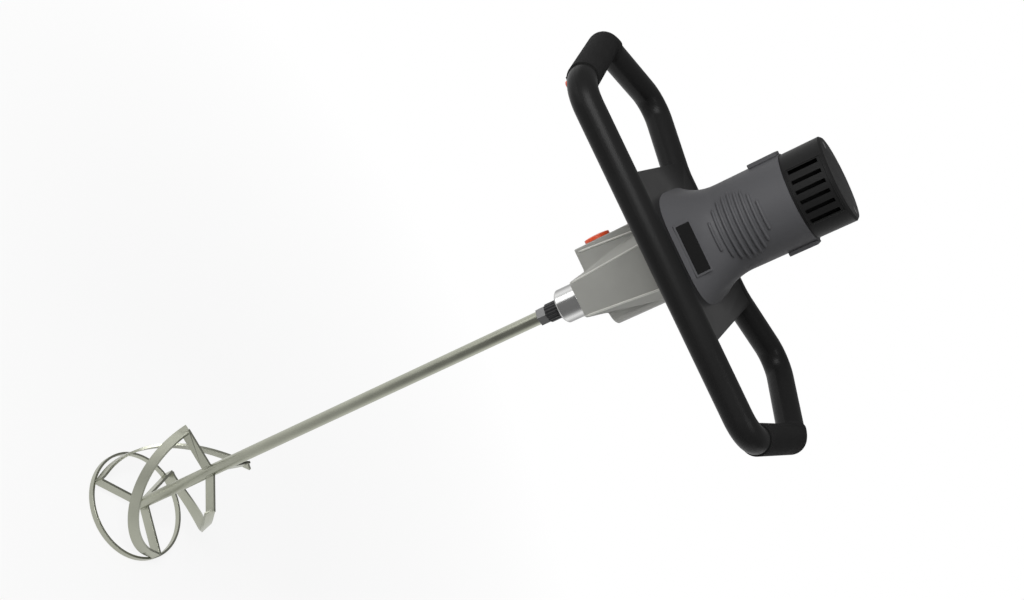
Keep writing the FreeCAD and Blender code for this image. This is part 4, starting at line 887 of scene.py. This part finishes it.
class OBJECT_OT_drill_stage(DrillOperator, bpy.types.Operator):
    """Set up the floor, the light and the camera"""
    bl_idname = "object.drill_stage"
    bl_label = "Stage"

    def execute(self, context):
        stage = context.scene.drill_stage
        self.floor()
        self.world(context.scene)
        self.camera(context.scene, stage)
        self.lamp("Key light", KEY_PLACE, KEY_SIZE, stage.key_power)
        self.lamp("Fill light", FILL_PLACE, FILL_SIZE, stage.fill_power)
        self.lamp("Low light", LOW_PLACE, LOW_SIZE, stage.low_power)
        context.scene.view_settings.view_transform = "Standard"
        return {"FINISHED"}

    def floor(self):
        """A pale floor that takes a soft shadow and turns white further away."""
        bpy.ops.object.select_all(action="DESELECT")
        bpy.ops.mesh.primitive_plane_add(size=FLOOR_SIZE, location=(0, 0, CAD_BOX[0][2] - FLOOR_GAP))
        floor = bpy.context.active_object
        floor.name = "Floor"
        material = bpy.data.materials.new("Pale floor")
        material.use_nodes = True
        tree = material.node_tree
        shader = tree.nodes["Principled BSDF"]
        shader.inputs["Base Color"].default_value = (0.85, 0.85, 0.85, 1)
        shader.inputs["Roughness"].default_value = 0.9
        glow = add_node(tree, "ShaderNodeEmission", (0, -250))
        mix = add_node(tree, "ShaderNodeMixShader", (300, 0))
        place = add_node(tree, "ShaderNodeTexCoord", (-800, 0))
        away = add_node(tree, "ShaderNodeVectorMath", (-600, 0), operation="LENGTH")
        share = add_node(tree, "ShaderNodeMath", (-50, 200), operation="MULTIPLY")
        tree.links.new(place.outputs["Object"], away.inputs[0])
        fade = ramp(tree, (-400, 0), away.outputs["Value"], FLOOR_FADE, FLOOR_WHITE)
        tree.links.new(fade, share.inputs[0])
        tree.links.new(self.seen(tree), share.inputs[1])
        tree.links.new(share.outputs["Value"], mix.inputs["Fac"])
        axes = add_node(tree, "ShaderNodeSeparateXYZ", (-600, -300))
        tree.links.new(place.outputs["Object"], axes.inputs["Vector"])
        mirrored = ramp(tree, (-400, -300), axes.outputs["Y"], MIRROR_DEPTH, MIRROR_LEVEL)
        tree.links.new(self.white_for_camera(tree, mirrored), glow.inputs["Strength"])
        tree.links.new(shader.outputs["BSDF"], mix.inputs[1])
        tree.links.new(glow.outputs["Emission"], mix.inputs[2])
        tree.links.new(mix.outputs["Shader"], tree.nodes["Material Output"].inputs["Surface"])
        floor.data.materials.append(material)
        return floor

    def white_for_camera(self, tree, level):
        """A level for reflections that is full where the camera looks."""
        path = add_node(tree, "ShaderNodeLightPath", (-400, -550))
        return larger(tree, (-200, -300), level, path.outputs["Is Camera Ray"])

    def seen(self, tree):
        """A value that is one where the camera or a reflection looks."""
        path = add_node(tree, "ShaderNodeLightPath", (-600, 300))
        shown = larger(tree, (-400, 300), path.outputs["Is Camera Ray"], path.outputs["Is Glossy Ray"])
        return larger(tree, (-200, 300), shown, path.outputs["Is Transmission Ray"])

    def world(self, scene):
        """A white room that gives soft light and is darker overhead in reflections."""
        world = scene.world or bpy.data.worlds.new("Studio")
        scene.world = world
        world.use_nodes = True
        tree = world.node_tree
        back = tree.nodes["Background"]
        back.inputs["Color"].default_value = (1, 1, 1, 1)
        place = add_node(tree, "ShaderNodeTexCoord", (-800, -100))
        axes = add_node(tree, "ShaderNodeSeparateXYZ", (-600, -100))
        tree.links.new(place.outputs["Generated"], axes.inputs["Vector"])
        soft = ramp(tree, (-400, 100), axes.outputs["X"], SOFT_SIDE, SOFT_LEVEL)
        mirrored = ramp(tree, (-400, -100), axes.outputs["Z"], ROOM_RISE, ROOM_LEVEL)
        strength = add_node(tree, "ShaderNodeMapRange", (100, 300))
        tree.links.new(self.seen(tree), strength.inputs["Value"])
        tree.links.new(soft, strength.inputs["To Min"])
        tree.links.new(self.white_for_camera(tree, mirrored), strength.inputs["To Max"])
        tree.links.new(strength.outputs["Result"], back.inputs["Strength"])

    def camera(self, scene, stage):
        """The camera that took the photograph."""
        data = bpy.data.cameras.new("Camera")
        data.sensor_width = FILM_WIDTH
        data.sensor_fit = "HORIZONTAL"
        data.lens = stage.lens
        camera = bpy.data.objects.new("Camera", data)
        scene.collection.objects.link(camera)
        turn = Matrix((CAMERA_RIGHT, CAMERA_UP, CAMERA_BACK)).transposed()
        camera.matrix_world = Matrix.Translation(CAMERA_PLACE) @ turn.to_4x4()
        scene.camera = camera

    def lamp(self, name, place, size, power):
        """A square lamp that stands away from the drill and faces it."""
        data = bpy.data.lights.new(name, "AREA")
        data.energy = power
        data.size = size
        lamp = bpy.data.objects.new(name, data)
        bpy.context.scene.collection.objects.link(lamp)
        lamp.location = AIM + place
        lamp.rotation_euler = (-place).to_track_quat("-Z", "Y").to_euler()


class VIEW3D_PT_drill(bpy.types.Panel):
    """The drill's sizes, colours and steps"""
    bl_idname = "VIEW3D_PT_drill"
    bl_label = "Mixing drill"
    bl_space_type = "VIEW_3D"
    bl_region_type = "UI"
    bl_category = "Mixing drill"

    def draw(self, context):
        for group in (context.scene.drill_finishes, context.scene.drill_details, context.scene.drill_stage):
            column = self.layout.column()
            for key in group.__annotations__:
                column.prop(group, key)
        for operator in OPERATORS:
            self.layout.operator(operator.bl_idname)


GROUPS = (DrillFinishes, DrillDetails, DrillStage)
OPERATORS = (OBJECT_OT_drill_inner_finishes, OBJECT_OT_drill_gearbox, OBJECT_OT_drill_motor,
             OBJECT_OT_drill_cover, OBJECT_OT_drill_trim, OBJECT_OT_drill_handle, OBJECT_OT_drill_nose,
             OBJECT_OT_drill_paddle, OBJECT_OT_drill_screws, OBJECT_OT_drill_gland, OBJECT_OT_drill_stage)


def register():
    for item in GROUPS + OPERATORS + (VIEW3D_PT_drill,):
        bpy.utils.register_class(item)
    bpy.types.Scene.drill_finishes = PointerProperty(type=DrillFinishes)
    bpy.types.Scene.drill_details = PointerProperty(type=DrillDetails)
    bpy.types.Scene.drill_stage = PointerProperty(type=DrillStage)


def unregister():
    del bpy.types.Scene.drill_stage
    del bpy.types.Scene.drill_details
    del bpy.types.Scene.drill_finishes
    for item in reversed(GROUPS + OPERATORS + (VIEW3D_PT_drill,)):
        bpy.utils.unregister_class(item)


def main():
    register()
    for operator in OPERATORS:
        group, name = operator.bl_idname.split(".")
        getattr(getattr(bpy.ops, group), name)()


if __name__ == "__main__":
    main()
